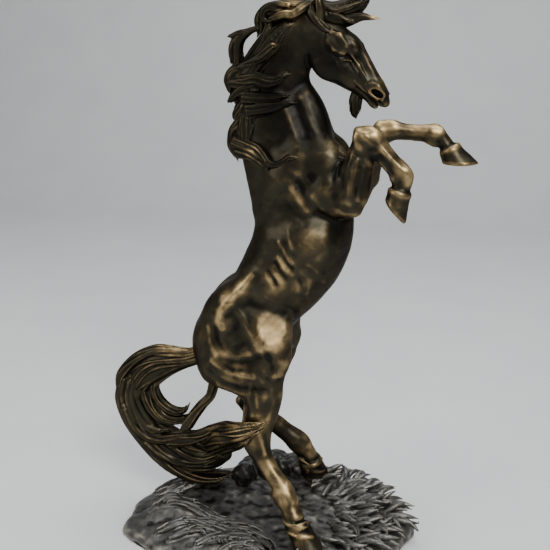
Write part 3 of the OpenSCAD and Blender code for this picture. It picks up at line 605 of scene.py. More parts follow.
# Each piece of hair: its locks as (guide, strands, strand radius, twist in radians)
# A guide row is x, y, z, half depth, half width, or x, y, z, radius where the lock is round
HAIR = {
    "forelock_front": [
        ([(44, -2, 541, 9, 10), (60, -3, 534, 9), (74, -4, 533, 7), (88, -6, 536, 4.4), (98, -7, 535, 2.4),
          (108, -8, 534, 0.8)], 12, 2.2, 1.0),
        ([(42, -9, 547, 4), (44, -12, 539, 4.5, 4), (50, -14, 532, 4.5, 4), (57, -15.5, 526, 4, 3.4),
          (67, -16, 521, 1.6)], 7, 1.6, 0.8),
        ([(44, 8, 544, 5), (52, 12, 534, 5, 4), (62, 13, 527, 3.6, 3), (74, 12, 524, 1)], 7, 1.6, -0.8),
        ([(60, -9, 538, 3), (69, -10, 536, 3), (78, -10, 532, 2.4), (87, -8, 530, 0.8)], 6, 1.3, 1.0),
    ],
    "forelock_crest": [
        ([(46, -1, 546, 7, 9), (62, -1, 541, 9), (76, 0, 543, 10.5, 8), (87, 1, 551, 9, 7),
          (98, 2, 562, 1.6, 2)], 12, 2.4, 0.8),
        ([(56, -7, 542, 3), (66, -9, 541, 3.4, 3), (77, -8, 544, 3), (88, -5, 548, 2),
          (96, -4, 547, 0.8)], 6, 1.4, 0.8),
        ([(58, 8, 544, 4, 3), (70, 9, 547, 4, 3), (82, 7, 555, 2.6, 2.4), (88, 6, 561, 0.8)], 6, 1.5, -0.8),
    ],
    "mane_curl": [
        ([(44, -2, 545, 6, 9), (28, -3, 544, 8, 10), (12, -4, 543, 8, 9), (1, -5, 541, 7),
          (-6, -5, 534, 5.5, 5), (-6, -4, 525, 4.4, 4), (-10, -2, 516, 1.5, 2)], 12, 2.2, 1.0),
        ([(42, -9, 548, 4), (35, -13, 543, 4.5, 4), (27, -15, 538, 4.5, 4), (18, -15, 538, 4),
          (9, -14, 535, 3.6, 3.4), (0, -13, 531, 1)], 8, 1.7, 1.6),
        ([(22, -9, 546, 4), (8, -10, 546, 4), (-1, -10, 541, 3.6), (-1, -10, 534, 3), (5, -10, 532, 2),
          (8, -10, 536, 0.8)], 7, 1.5, 1.2),
        ([(34, 8, 545, 5), (18, 12, 541, 6, 5), (4, 13, 535, 6, 4), (-4, 12, 524, 3),
          (-6, 11, 513, 1)], 8, 1.8, -0.8),
    ],
    "mane_loop": [
        ([(-4, -4, 527, 2, 3), (-15, -4, 523.5, 3.4, 5), (-25, -4, 517, 6, 7), (-29.5, -3, 508, 7.4, 7),
          (-29, -2, 498, 7.4, 7), (-28, -2, 486, 6)], 10, 2.1, 0.8),
        ([(-18, -5, 522, 3.6, 4), (-26, -5, 521, 3.6, 4), (-33, -4, 519, 2.6, 3),
          (-39, -3, 518, 0.7)], 6, 1.4, 0.8),
    ],
    "mane_upper": [
        ([(30, -2, 531, 8), (18, -2, 525, 11), (6, -3, 512, 14, 13), (-8, -4, 494, 14),
          (-20, -4, 476, 13, 12), (-27, -3, 460, 6, 7)], 30, 1.0, 0.3),
        ([(4, -6, 530, 4, 5), (0, -8, 518, 5), (-4, -10, 506, 6, 5), (-12, -11, 496, 7, 5),
          (-24, -9, 489, 3)], 8, 1.2, 0.8),
        ([(-26, -10, 489, 4), (-14, -14, 494, 5, 4), (-4, -17, 499, 5, 4), (3, -19, 505, 4.4, 3.6),
          (9, -19.5, 510, 3.8, 3.2), (16, -18, 511, 1.4)], 7, 1.5, 1.6),
        ([(-34, -8, 476, 6), (-20, -13, 477, 8, 6), (-8, -17, 480, 7, 5.4), (3, -19.5, 478, 6.4, 5),
          (12, -20.5, 479, 5, 4), (20, -20.5, 484, 3.6, 3), (28, -19, 485, 1.4)], 9, 1.5, 1.0),
        ([(-14, -8, 489, 6), (-27, -7, 487, 7.5, 8), (-34, -6, 480, 7, 8), (-34, -5, 471, 5.6, 7),
          (-33, -4, 463, 2)], 10, 1.5, 0.8),
        ([(-10, 12, 504, 8, 7), (-2, 17, 493, 8, 5), (8, 20, 486, 6, 4), (20, 19, 488, 1.5)], 9, 1.7, -1.0),
        ([(-20, 9, 488, 9, 8), (-29, 10, 475, 8, 7), (-32, 10, 462, 6, 5),
          (-26, 11, 450, 2)], 9, 1.7, -1.0),
        ([(4, 10, 522, 8, 7), (-8, 13, 508, 8, 6), (-14, 15, 494, 5, 4),
          (-18, 16, 480, 1.5)], 9, 1.7, -1.0),
    ],
    "mane_middle": [
        ([(-8, -2, 484, 15, 14), (-12, -3, 464, 16, 15), (-13, -3, 446, 15),
          (-14, -2, 432, 11)], 30, 1.0, 0.3),
        ([(-12, -13, 476, 6, 5), (-24, -12, 469, 5.5, 5), (-33, -9, 461, 4),
          (-38, -6, 456, 1)], 7, 1.4, 1.0),
        ([(-20, -14, 462, 7, 5), (-6, -17, 462, 7, 4.5), (8, -19, 463, 5, 3.6), (20, -20, 465, 2.6, 2.4),
          (28, -19, 465, 0.9)], 7, 1.3, 0.8),
        ([(-16, -15, 450, 8, 5), (0, -19, 453, 7, 4.5), (14, -21, 456, 4.6, 3.6), (26, -21, 459, 2.6, 2.2),
          (35, -20, 459, 0.9)], 7, 1.4, 0.8),
        ([(-22, -12, 456, 6), (-27, -9, 447, 6), (-26, -8, 438, 5)], 7, 1.4, 0.8),
        ([(-14, 16, 462, 7, 5), (0, 20, 456, 7, 5), (14, 22, 452, 5, 4), (26, 21, 455, 1.5)], 7, 1.7, -0.8),
    ],
    "mane_lower": [
        ([(-13, -3, 452, 14), (-16, -4, 434, 14, 15), (-17, -3, 417, 13, 15),
          (-16, -2, 400, 8, 9)], 28, 1.1, 0.3),
        ([(-18, -8, 444, 7), (-26, -7, 436, 7), (-32, -6, 428, 6), (-33, -5, 416, 6),
          (-29, -5, 403, 2)], 9, 1.5, 1.2),
        ([(-30, -12, 420, 6), (-18, -17, 417, 6.5, 6), (-8, -22, 415, 6, 5.5), (-1, -25, 409.5, 5.5, 5),
          (6, -28, 403, 4.6, 4.4), (13, -29.5, 401.5, 3.6, 3.4), (20, -30, 404.5, 3.4, 3.2),
          (27, -31, 409, 3.6, 3.4), (35, -30, 408.5, 3.2, 3), (43, -29, 412, 2.8, 2.6),
          (55, -27, 418, 0.9)], 8, 1.4, 1.2),
        ([(-26, -14, 410, 6), (-14, -20, 410, 6.5, 6), (-4, -26, 405, 5), (3, -28, 399, 3),
          (6, -28, 394, 1)], 7, 1.5, 1.0),
        ([(-22, 12, 426, 8, 7), (-10, 20, 418, 8, 6), (4, 25, 412, 6, 5), (16, 27, 414, 2)], 8, 1.7, -1.0),
        ([(-24, 10, 412, 7, 6), (-14, 18, 402, 6, 5), (-4, 23, 392, 4), (2, 25, 384, 1)], 7, 1.7, -1.0),
    ],
    "tail_upper": [
        ([(-56, 0, 199, 10, 9), (-70, 0, 194.5, 10, 9), (-86, 0, 188.5, 10.6, 9.5),
          (-102, 0, 184.5, 14, 11), (-118, 2, 178, 18, 12), (-134, 4, 166, 19, 13), (-146, 7, 150, 17, 12),
          (-150, 9, 140, 14, 12)], 18, 2.0, 0.6),
        ([(-76, 0, 196, 4, 6), (-90, 0, 195.5, 4, 6), (-106, 0, 196.5, 4.6, 7), (-121, 1, 195, 6, 8),
          (-136, 2, 188, 7, 9), (-150, 4, 176, 8, 10), (-162, 6, 160, 8, 10),
          (-165, 8, 144, 7, 9)], 10, 1.8, 0.9),
    ],
    "tail_lower": [
        ([(-152, 7, 158, 14, 12), (-156, 10, 138, 15, 14), (-150, 14, 114, 17, 15), (-136, 18, 92, 19, 16),
          (-116, 21, 74, 21, 17), (-92, 20, 64, 20, 17), (-68, 14, 66, 17, 15),
          (-50, 4, 78, 13, 12)], 17, 3.4, 0.7),
        ([(-164, 7, 150, 6, 9), (-167, 9, 132, 6, 10), (-160, 12, 108, 7, 12), (-146, 16, 84, 8, 13),
          (-128, 20, 62, 9, 15), (-108, 23, 46, 9, 16), (-84, 24, 38, 9, 17), (-62, 24, 38, 7, 14),
          (-44, 22, 44, 3, 5)], 13, 2.5, 0.7),
        ([(-124, 2, 174, 9, 8), (-135, 5, 160, 9, 8), (-136.5, 7, 142, 9, 8), (-130, 8, 125, 9, 8),
          (-118, 8, 114, 8), (-104, 7, 112, 6, 7), (-90, 5, 117, 4, 5), (-80, 3, 128, 1)], 9, 1.8, 1.2),
        ([(-108, 0, 176, 7, 6), (-122, 2, 165, 7), (-126.5, 4, 150, 6, 7), (-122, 5, 136, 6, 7),
          (-111, 5, 125.5, 6), (-99, 4, 123.5, 5, 6), (-90, 2, 129, 3), (-84, 0, 141, 1)], 8, 1.5, 1.2),
        ([(-152, 2, 160, 6, 7), (-157, 3, 140, 6, 7), (-152, 5, 120, 6, 7), (-140, 7, 103, 6),
          (-124, 7, 97, 5), (-110, 6, 101, 1)], 7, 1.9, 1.0),
        ([(-160, 3, 124, 6, 8), (-152, 6, 104, 6, 8), (-138, 8, 90, 7, 8), (-120, 9, 87, 7, 8),
          (-100, 8, 92, 6, 7), (-82, 6, 97, 5), (-70, 4, 106, 1)], 8, 2.1, 1.1),
        ([(-140, 8, 82, 6, 7), (-124, 11, 68, 7, 8), (-104, 12, 60, 7, 8), (-82, 9, 62, 7, 8),
          (-62, 4, 72, 6, 7), (-46, -4, 84, 3, 4)], 8, 2.1, 1.1),
        ([(-112, 8, 84, 8), (-92, 6, 90, 8), (-74, 0, 99, 7.4, 7), (-60, -6, 110, 6),
          (-48, -14, 121, 2.4)], 8, 1.7, 1.0),
        ([(-128, 30, 96, 7, 6), (-112, 34, 78, 7, 6), (-92, 35, 66, 7, 6), (-70, 30, 60, 5),
          (-54, 26, 62, 1)], 8, 2.1, -1.0),
    ],
    "tail_tip": [
        ([(-62, 8, 84, 14, 12), (-48, -10, 103, 14, 12), (-34, -32, 117, 13, 9), (-20, -50, 129, 11, 6.5),
          (-8, -60, 138, 8, 4.6), (3, -62, 144, 4.6, 3.6), (14, -62, 151, 1)], 14, 1.7, 1.2),
        ([(-66, 4, 98, 8), (-54, -10, 112, 8, 7), (-40, -28, 125, 7.4, 6), (-26, -46, 135, 6.4, 4.6),
          (-13, -59, 143, 5, 3.6), (-2, -62, 147, 3, 2.6), (9, -62, 150, 0.9)], 9, 1.4, 1.2),
        ([(-50, -2, 84, 7, 6), (-36, -20, 98, 6), (-24, -38, 110, 5, 4), (-14, -54, 122, 3),
          (-4, -60, 132, 0.9)], 7, 1.4, 1.0),
    ],
    "tail_strand": [
        ([(-54, -4, 172, 6), (-58, -4, 160, 6.4, 6), (-62, -5, 148, 6), (-70, -6, 139, 6),
          (-79, -5, 126, 6.4, 6), (-88, -3, 112, 7, 6), (-94, -2, 104, 5)], 7, 1.6, 1.0),
    ],
    "chin_tuft": [
        ([(87, -3, 468, 6, 5), (85.5, -4, 461, 6.6, 5), (85, -4, 454, 6.2, 5), (85, -4, 448, 4.8, 4),
          (86, -4, 444, 2)], 9, 1.4, 0.6),
    ],
}


def build_hair(name):
    """One cast piece of hair."""
    locks = HAIR[name]
    rows = np.vstack([full_rows(lock[0]) for lock in locks])
    reach = rows[:, 3:].max() + 5
    field = Field(rows[:, :3].min(0) - reach, rows[:, :3].max(0) + reach, HAIR_STEP)
    for i, (guide, strands, radius, twist) in enumerate(locks):
        add_bundle(field, guide, strands, radius, twist, len(name) * 10 + i)
    return field


EARS = {"right_ear": -1, "left_ear": 1}
# An ear from root to tip, for the left side: x, y, z, half depth, half width
EAR = [(51, 10.5, 532, 5, 5.6), (51, 12, 541, 5.4, 6.8), (50, 13.6, 549, 4.6, 5.6),
       (48, 15, 556, 2.6, 3), (47, 15.4, 560, 0.8)]


def build_ear(name):
    """A pricked ear, leaf shaped and hollowed in front."""
    side = EARS[name]
    root, tip = np.array([51, 10.5 * side, 531]), np.array([48, 15 * side, 559.5])
    axes = axes_from(tip - root, (0.35, side * 0.9, 0.1))
    field = Field(root - 17, tip + 12, HAIR_STEP)
    path = smooth_path([(x, y * side, z, *halves) for x, y, z, *halves in EAR], 6)
    for row in path:
        field.ellipsoid(row[:3], (row[3], row[4], 2.4), axes)
    hollow = root + (tip - root) * 0.55 + axes[:, 0] * 4.4
    add_pad(field, hollow, (3.2, 3.6, 10), axes, 1.2, carve=True)
    return field


# ---- The ground ----

# Half length and half width of the base, its height, its rise towards the back, and the y of its middle
BASE_X, BASE_Y, BASE_TOP, BASE_SLOPE, BASE_MID = 161, 104, 25, 0.09, -8
RIM_DROP = 0.45       # how far the ground falls at the rim, as a share of its height
WALL, FELT = 5, 1.5   # thickness of the hollow base's wall and of the felt under it
# Raised blobs of ground: x, y, how far up, reach in x, reach in y
LUMPS = [(-104, -30, 9, 18, 12), (-78, -36, 5, 26, 9), (49, -70, 5, 24, 20), (38, -22, 4, 22, 14),
         (18, -10, 3, 14, 10), (-30, 20, 4, 22, 18), (104, 40, 3, 30, 26), (120, -20, 3, 24, 30),
         (20, -86, 3, 40, 8)]


def ripple(x, y, size, seed, z=0.0):
    """Smooth random bumps of about one unit high and the given size across."""
    rng = np.random.default_rng(seed)
    waves, total = 9, 0.0
    for _ in range(waves):
        way = rng.normal(size=3)
        way /= np.linalg.norm(way)
        along = (x * way[0] + y * way[1] + z * way[2]) * 2 * math.pi / (size * rng.uniform(0.8, 1.6))
        total = total + np.sin(along + rng.uniform(0, 2 * math.pi))
    return total / 3


def rim(a):
    """How far the edge of the base lies out at an angle, as a share of its half sizes."""
    d = np.degrees(a) % 360
    r = 1 + 0.015 * np.sin(5 * a + 0.7) + 0.012 * np.sin(9 * a) + 0.01 * np.sin(14 * a + 1.22)
    return 0.965 * (r - 0.13 * np.exp(-((d - 152) / 30) ** 2) + 0.05 * np.exp(-((d - 202) / 24) ** 2))


def ground_share(x, y):
    """How far out a point is on the base: 0 in the middle, 1 on the rim."""
    a = np.arctan2((y - BASE_MID) / BASE_Y, x / BASE_X)
    return np.hypot(x / BASE_X, (y - BASE_MID) / BASE_Y) / rim(a)


def ground_height(x, y):
    """The height of the smooth ground."""
    fall = RIM_DROP * np.clip(ground_share(x, y), 0, 1.1) ** 8
    top = (BASE_TOP + BASE_SLOPE * y) * (1 - fall)
    for cx, cy, up, rx, ry in LUMPS:
        top = top + up * np.exp(-((x - cx) / rx) ** 2 - ((y - cy) / ry) ** 2)
    return top


def build_ground():
    """The hollow base: lumpy ground with an uneven edge, open below."""
    field = Field((-164, -118, -1), (164, 100, 44), GROUND_STEP)
    _, (x, y, z) = field.window(*EVERYWHERE)
    share, fillet, flatter = ground_share(x, y), 6, 0.85
    rough = 1.2 * np.abs(ripple(x, y, 38, 3)) + 0.45 * ripple(x, y, 15, 4) + 0.3 * ripple(x, y, 7, 5)
    top = ground_height(x, y) + (rough - 1.0) * np.clip(1.6 - share, 0, 1)
    side = (share - 1) * 0.45 * (BASE_X + BASE_Y)
    side = side + 1.2 * ripple(x, y, 30, 6, z) + 0.7 * ripple(x, y, 11, 7, z) + 0.8
    over = (z - top) * flatter
    h = np.maximum(fillet - np.abs(over - side), 0) / fillet
    rock = np.maximum(over, side) + h * h * fillet * 0.25
    shell = np.maximum(rock, -(rock + WALL))
    field.f = np.maximum(shell, FELT - z).astype(np.float32)
    return field


def on_ground(points):
    """Guide rows (x, y, half height, half width) laid on the ground."""
    return [(x, y, ground_height(x, y), a, b) for x, y, a, b in points]


# Long grass combed over the front left of the base: x, y, half height, half width
FRONT_GRASS = [
    [(-122, -36, 4, 5), (-106, -24, 6, 7), (-88, -22, 6, 7), (-72, -26, 5, 6), (-54, -36, 3, 4),
     (-40, -44, 1, 1)],
    [(-108, -34, 4, 5), (-90, -30, 5, 6), (-70, -34, 5, 6), (-50, -42, 4, 5), (-24, -44, 2, 3),
     (-8, -42, 1, 1)],
    [(-106, -66, 4, 6), (-90, -56, 6, 7), (-72, -50, 6, 7), (-50, -52, 5, 7), (-28, -60, 4, 5),
     (-14, -72, 1, 1)],
    [(-88, -50, 4, 5), (-62, -48, 5, 6), (-36, -48, 5, 6), (-12, -50, 5, 6), (6, -60, 4, 5),
     (20, -78, 1, 1)],
    [(-90, -76, 4, 5), (-74, -66, 6, 7), (-56, -62, 6, 7), (-38, -70, 5, 6), (-26, -84, 2, 2)],
    [(-62, -84, 4, 5), (-48, -74, 5, 6), (-28, -68, 5, 6), (-8, -70, 5, 6), (8, -84, 2, 2)],
    [(-50, -60, 4, 5), (-26, -56, 5, 6), (-4, -60, 5, 6), (14, -72, 4, 5), (24, -90, 2, 2)],
    [(-36, -92, 4, 5), (-22, -82, 5, 6), (-2, -80, 5, 6), (14, -92, 2, 2)],
]
# The turf bank at the left
LEFT_GRASS = [
    [(-126, -12, 3, 5), (-108, 2, 5, 6), (-92, 16, 5, 6), (-74, 30, 4, 5), (-56, 36, 1, 1)],
    [(-118, 4, 3, 5), (-104, 18, 5, 6), (-86, 28, 5, 6), (-64, 40, 4, 4), (-46, 42, 1, 1)],
    [(-132, 10, 3, 4), (-116, 22, 4, 5), (-98, 34, 4, 5), (-78, 44, 1, 1)],
]


def build_grass(name):
    """A bank of cast grass: combed at the front and left, fanned out in tufts at the right."""
    if name == "grass_right":
        return build_tufts()
    guides = FRONT_GRASS if name == "grass_front" else LEFT_GRASS
    rows = np.array([row for g in guides for row in on_ground(g)])
    room, first_seed = 14, 40
    field = Field(rows[:, :3].min(0) - room, rows[:, :3].max(0) + room, HAIR_STEP)
    for i, guide in enumerate(guides):
        add_feathers(field, guide, 60, first_seed + i)
    return field


def add_feathers(field, guide, count, seed):
    """Short pointed blades laid over each other along a guide, their tips drifting outwards."""
    steps = 12
    path = smooth_path(on_ground(guide), steps)
    ways = np.gradient(path[:, :2], axis=0)
    ways /= np.linalg.norm(ways, axis=1)[:, None]
    rng = np.random.default_rng(seed)
    last = len(path) - 1
    for row in path[:-steps]:
        field.ellipsoid(row[:3] - (0, 0, 2.5), (row[4], row[4], row[3]), np.eye(3))
    for k in range(count):
        start = rng.uniform(0, 0.72) * last
        long = rng.uniform(0.2, 0.34) * last
        across, fat = rng.uniform(-1.1, 1.1), rng.uniform(1.0, 1.9)
        rise, lift = rng.uniform(0.5, 4.0), rng.uniform(-2.2, 0.6)
        before = None
        for t in np.linspace(0, 1, 8):
            i = int(min(start + long * t, last))
            row, way = path[i], ways[i]
            out = across * row[4] * (0.75 + 0.7 * t * t)
            x, y = row[0] - way[1] * out, row[1] + way[0] * out
            z = row[2] + lift + row[3] * math.sqrt(max(0.05, 1 - (0.8 * across) ** 2)) + rise * t * t
            thin = fat * max(0.18, math.sin(math.pi * (0.25 + 0.72 * t)))
            if before is not None:
                field.cone(before[0], (x, y, z), before[1], thin)
            before = ((x, y, z), thin)


# Rows of tufts at the right: how far out, tufts in the row, blade length, how far the tips rise
TUFT_ROWS = [(0.54, 6, 22, 4.0), (0.68, 8, 28, 9.0), (0.82, 9, 30, 15.0)]
TUFT_START, TUFT_SPAN = -64, 134        # the rows' part of the rim, in degrees
TUFT_BLADES, TUFT_FAN = 7, 0.17         # blades in a tuft, and the angle between them in radians


def build_tufts():
    """Rows of leafy tufts that point out to the edge and curl up."""
    field = Field((44, -110, 6), (176, 104, 54), HAIR_STEP)
    rng = np.random.default_rng(12)
    for share, count, long, rise in TUFT_ROWS:
        for k in range(count):
            a = math.radians(TUFT_START + TUFT_SPAN * (k + rng.uniform(0.2, 0.8)) / count)
            for blade in range(TUFT_BLADES):
                fan = (blade - TUFT_BLADES // 2) * TUFT_FAN
                add_blade(field, rng, a, share + rng.uniform(-0.05, 0.05), fan, long, rise)
    return field


def add_blade(field, rng, angle, share, fan, long, rise):
    """One bent blade of a tuft, kept inside the rim."""
    edge = float(rim(angle))
    x = BASE_X * edge * share * math.cos(angle)
    y = BASE_MID + BASE_Y * edge * share * math.sin(angle)
    turn = math.atan2(y - BASE_MID, x - 20) + fan + rng.normal(0, 0.08)
    long, rise = long * rng.uniform(0.7, 1.15), rise * rng.uniform(0.5, 1.2)
    fat, bend = rng.uniform(2.4, 4.0), rng.normal(0, 0.3)
    shift = 9 * fan                       # the roots of a tuft stand side by side
    before = None
    for t in np.linspace(0, 1, 8):
        px = x + long * t * math.cos(turn + bend * t) - shift * math.sin(turn)
        py = y + long * t * math.sin(turn + bend * t) + shift * math.cos(turn)
        out = max(1e-6, math.hypot(px / BASE_X, (py - BASE_MID) / BASE_Y))
        inside = min(1.0, 1.03 * edge / out)
        px, py = px * inside, BASE_MID + (py - BASE_MID) * inside
        z = ground_height(px, py) + 0.6 + rise * (0.35 * math.sin(math.pi * t) + t * t)
        thin = fat * max(0.12, math.sin(math.pi * (0.28 + 0.7 * t)))
        if before is not None:
            field.cone(before[0], (px, py, z), before[1], thin)
        before = ((px, py, z), thin)


# Stones under the far hoof: centre and half sizes
STONES = [((-33, 26, 42), (11.5, 11, 16)), ((-36, 46, 28), (14, 18, 14)), ((-34, 70, 24), (18, 15, 16)),
          ((-8, 72, 30), (24, 17, 18)), ((20, 74, 27), (24, 18, 20)), ((41, 60, 20), (26, 20, 14)),
          ((2, 60, 36), (15, 12, 12)), ((24, 62, 38), (13, 11, 9)), ((-20, 60, 26), (18, 14, 15)),
          ((56, 50, 18), (16, 14, 10))]
MOUND_FOOT, MOUND_BACK = 10, 96         # the mound is cut off below and behind here
MOUND_SPIKES = 26


def build_mound():
    """Rough stones grown together, with a few broken spikes on top."""
    field = Field((-62, 12, 8), (84, 96, 66), HAIR_STEP)
    for i, (centre, radii) in enumerate(STONES):
        add_pad(field, centre, radii, lean(12 * (-1) ** i, 20 * i), 5)
    _, (x, y, z) = field.window(*EVERYWHERE)
    field.f += (1.5 * ripple(x, y, 20, 8, z) + 0.8 * ripple(x, y, 9, 9, z)).astype(np.float32)
    rng = np.random.default_rng(5)
    for _ in range(MOUND_SPIKES):
        a = rng.uniform(0, 2 * math.pi)
        x0, y0 = 6 + 30 * math.cos(a), 66 + 13 * math.sin(a)
        z0 = 30 + rng.uniform(-6, 10)
        end = (x0 + rng.uniform(-9, 9), y0 + rng.uniform(-5, 5), z0 + rng.uniform(3, 9))
        field.cone((x0, y0, z0 - 6), end, 2.4, 0.7)
    field.f = np.maximum(field.f, np.maximum(MOUND_FOOT - z, y - MOUND_BACK)).astype(np.float32)
    return field


# ---- Cutting the horse at its welds ----

# A point of the plane, its normal, and the box the cut stays in
WELDS = {
    "waist": ((8, 0, 276), (0.5, 0, 0.866), (-90, -70, 200), (90, 70, 345)),
    "neck": ((0, 0, 416), (0, 0, 1), (-60, -60, 405), (67, 60, 428)),
    "thigh": ((0, 0, 160), (0, 0, 1), (-60, -80, 148), (50, 80, 172)),
    "elbow": ((92, 0, 404), (0.2, 0, 0.98), (73, -70, 392), (130, 70, 420)),
    "throat": ((38.5, 0, 505), (0.977, 0, 0.21), (0, -40, 440), (80, 40, 560)),
}
ARM_X, ARM_Y = 73, 16           # the forelegs are in front of this, and further out than this
FREE_X = 112                    # only forelegs and the head reach in front of this
NECK_FRONT = 67                 # the neck is behind this
HEAD_Z = 445                    # no foreleg reaches above this, and no part of the head below it
SECTIONS = ["rear_torso", "front_torso", "neck", "right_hind_leg", "left_hind_leg", "right_foreleg",
            "left_foreleg", "head"]


def section_of(p):
    """The index in SECTIONS of each point."""
    x, y, z = p.T

    def past(weld):
        at, normal = WELDS[weld][:2]
        return (x - at[0]) * normal[0] + (z - at[2]) * normal[2]

    arm = (past("elbow") > 0) & (x > ARM_X) & (z < HEAD_Z) & (np.abs(y) > ARM_Y)
    arm |= (x > FREE_X) & (z < HEAD_Z)
    name = np.where(past("waist") > 0, 1, 0)
    name = np.where((past("neck") > 0) & (x < NECK_FRONT), 2, name)
    name = np.where(past("thigh") < 0, np.where(y < 0, 3, 4), name)
    name = np.where(arm, np.where(y < 0, 5, 6), name)
    return np.where((past("throat") > 0) & (z > HEAD_Z), 7, name)


def cut_at(points, tris, weld):
    """Splits the triangles that cross a weld plane, so that no triangle lies on both sides of it."""
    at, normal, low, high = [np.asarray(v, float) for v in weld]
    normal = normal / np.linalg.norm(normal)
    gap, touching = (points - at) @ normal, 1e-4
    gap[np.abs(gap) < touching] = touching
    above = gap > 0
    mixed = above[tris].any(1) & ~above[tris].all(1)
    middle = points[tris].mean(1)
    mixed &= ((middle > low) & (middle < high)).all(1)
    made, extra, pieces = {}, [], []

    def crossing(i, j):
        key = (min(i, j), max(i, j))
        if key not in made:
            t = gap[i] / (gap[i] - gap[j])
            made[key] = len(points) + len(extra)
            extra.append(points[i] + t * (points[j] - points[i]))
        return made[key]

    for tri in tris[mixed]:
        lone = [k for k in range(3) if above[tri[k]] == (above[tri].sum() == 1)][0]
        a, b, c = tri[lone], tri[(lone + 1) % 3], tri[(lone + 2) % 3]
        ab, ac = crossing(a, b), crossing(a, c)
        pieces += [(a, ab, ac), (ab, b, c), (ab, c, ac)]
    if not pieces:
        return points, tris
    return np.vstack([points, extra]), np.vstack([tris[~mixed], pieces])


def cap_loops(points, tris):
    """Closes each open loop of a cut section with a fan; returns the points and the new triangles."""
    edges = np.concatenate([tris[:, [0, 1]], tris[:, [1, 2]], tris[:, [2, 0]]])
    code = edges[:, 0].astype(np.int64) * len(points) + edges[:, 1]
    back = edges[:, 1].astype(np.int64) * len(points) + edges[:, 0]
    open_edges = edges[~np.isin(code, back)]
    following = {int(a): int(b) for a, b in open_edges}
    caps, extra = [], []
    while following:
        start, loop = next(iter(following)), []
        here = start
        while here in following:
            loop.append(here)
            here = following.pop(here)
        if len(loop) < 3:
            continue
        middle = len(points) + len(extra)
        extra.append(points[loop].mean(0))
        caps += [(loop[(k + 1) % len(loop)], loop[k], middle) for k in range(len(loop))]
    if not caps:
        return points, np.zeros((0, 3), int)
    return np.vstack([points, extra]), np.array(caps)


# ---- Surface measures ----


def neighbours(points, faces):
    """Both directions of every edge, for smoothing over the surface."""
    k = faces.shape[1]
    edges = np.concatenate([faces[:, [i, (i + 1) % k]] for i in range(k)])
    return np.concatenate([edges, edges[:, ::-1]])


def relax(values, edges, rounds):
    """Averages values with those next to them, over and over."""
    count = np.bincount(edges[:, 0], minlength=len(values)).astype(np.float32)[:, None]
    for _ in range(rounds):
        total = np.stack([np.bincount(edges[:, 0], weights=values[edges[:, 1], k], minlength=len(values))
                          for k in range(values.shape[1])], 1)
        values = 0.5 * values + 0.5 * total / np.maximum(count, 1)
    return values


def facing(points, tris):
    """A vector along each triangle's normal, as long as twice its area."""
    return np.cross(points[tris[:, 1]] - points[tris[:, 0]], points[tris[:, 2]] - points[tris[:, 0]])


def units(vectors):
    return vectors / np.maximum(np.linalg.norm(vectors, axis=1), TINY)[:, None]


def normals_of(points, tris):
    """The normal at each point."""
    n = facing(points, tris)
    return units(np.stack([np.bincount(tris.ravel(), weights=np.repeat(n[:, k], 3), minlength=len(points))
                           for k in range(3)], 1))


# ---- Materials ----


class Shader:
    """A short way to write a procedural material: every method adds one node and returns its output."""

    def __init__(self, name):
        self.material = bpy.data.materials.new(name)
        self.material.use_nodes = True
        self.tree = self.material.node_tree
        self.bsdf = self.tree.nodes["Principled BSDF"]
        self.place = None

    def feed(self, socket, value):
        if isinstance(value, bpy.types.NodeSocket):
            self.tree.links.new(value, socket)
        else:
            socket.default_value = value

    def added(self, kind, inputs, output, **settings):
        """Adds a node, feeds the named or numbered inputs and returns one output."""
        made = self.tree.nodes.new(kind)
        for key, value in settings.items():
            setattr(made, key, value)
        for key, value in inputs.items():
            self.feed(made.inputs[key], value)
        return made.outputs[output]

    def noise(self, scale, detail=3.0, rough=0.55, warp=0.0):
        if self.place is None:
            self.place = self.added("ShaderNodeTexCoord", {}, "Object")
        return self.added("ShaderNodeTexNoise", {"Vector": self.place, "Scale": scale, "Detail": detail,
                                                 "Roughness": rough, "Distortion": warp}, "Fac")

    def attribute(self, name):
        return self.added("ShaderNodeAttribute", {}, "Fac", attribute_name=name)

    def remap(self, value, a, b, c=0.0, d=1.0):
        ends = {"Value": value, "From Min": a, "From Max": b, "To Min": c, "To Max": d}
        return self.added("ShaderNodeMapRange", ends, "Result", clamp=True)

    def math(self, how, a, b):
        return self.added("ShaderNodeMath", {0: a, 1: b}, 0, operation=how, use_clamp=True)

    def blend(self, share, a, b):
        return self.added("ShaderNodeMix", {0: share, 6: a, 7: b}, 2, data_type="RGBA")

    def bump(self, height, strength, distance, under=None):
        inputs = {"Height": height, "Strength": strength, "Distance": distance}
        if under is not None:
            inputs["Normal"] = under
        return self.added("ShaderNodeBump", inputs, "Normal")

    def done(self, **inputs):
        for key, value in inputs.items():
            self.feed(self.bsdf.inputs[key.replace("_", " ")], value)
        return self.material


DARK, FLESH, BROWN_WEAR_AND_HIGHLIGHT = (0.019, 0.0175, 0.012), (0.050, 0.043, 0.026), (0.135, 0.090, 0.040)
GOLD_WEAR_AND_HIGHLIGHT, HOLLOW_AND_SHADE_BLACK, GLINT = (0.58, 0.425, 0.21), (0.006, 0.0055, 0.0045), (0.35, 0.31, 0.25)
SLATE, ASH = (0.062, 0.061, 0.054), (0.135, 0.132, 0.122)
WORN_ASH, CREVICE = (0.32, 0.30, 0.24), (0.010, 0.009, 0.008)


def rgba(colour, tone=1.0):
    return (*(part * tone for part in colour), 1)


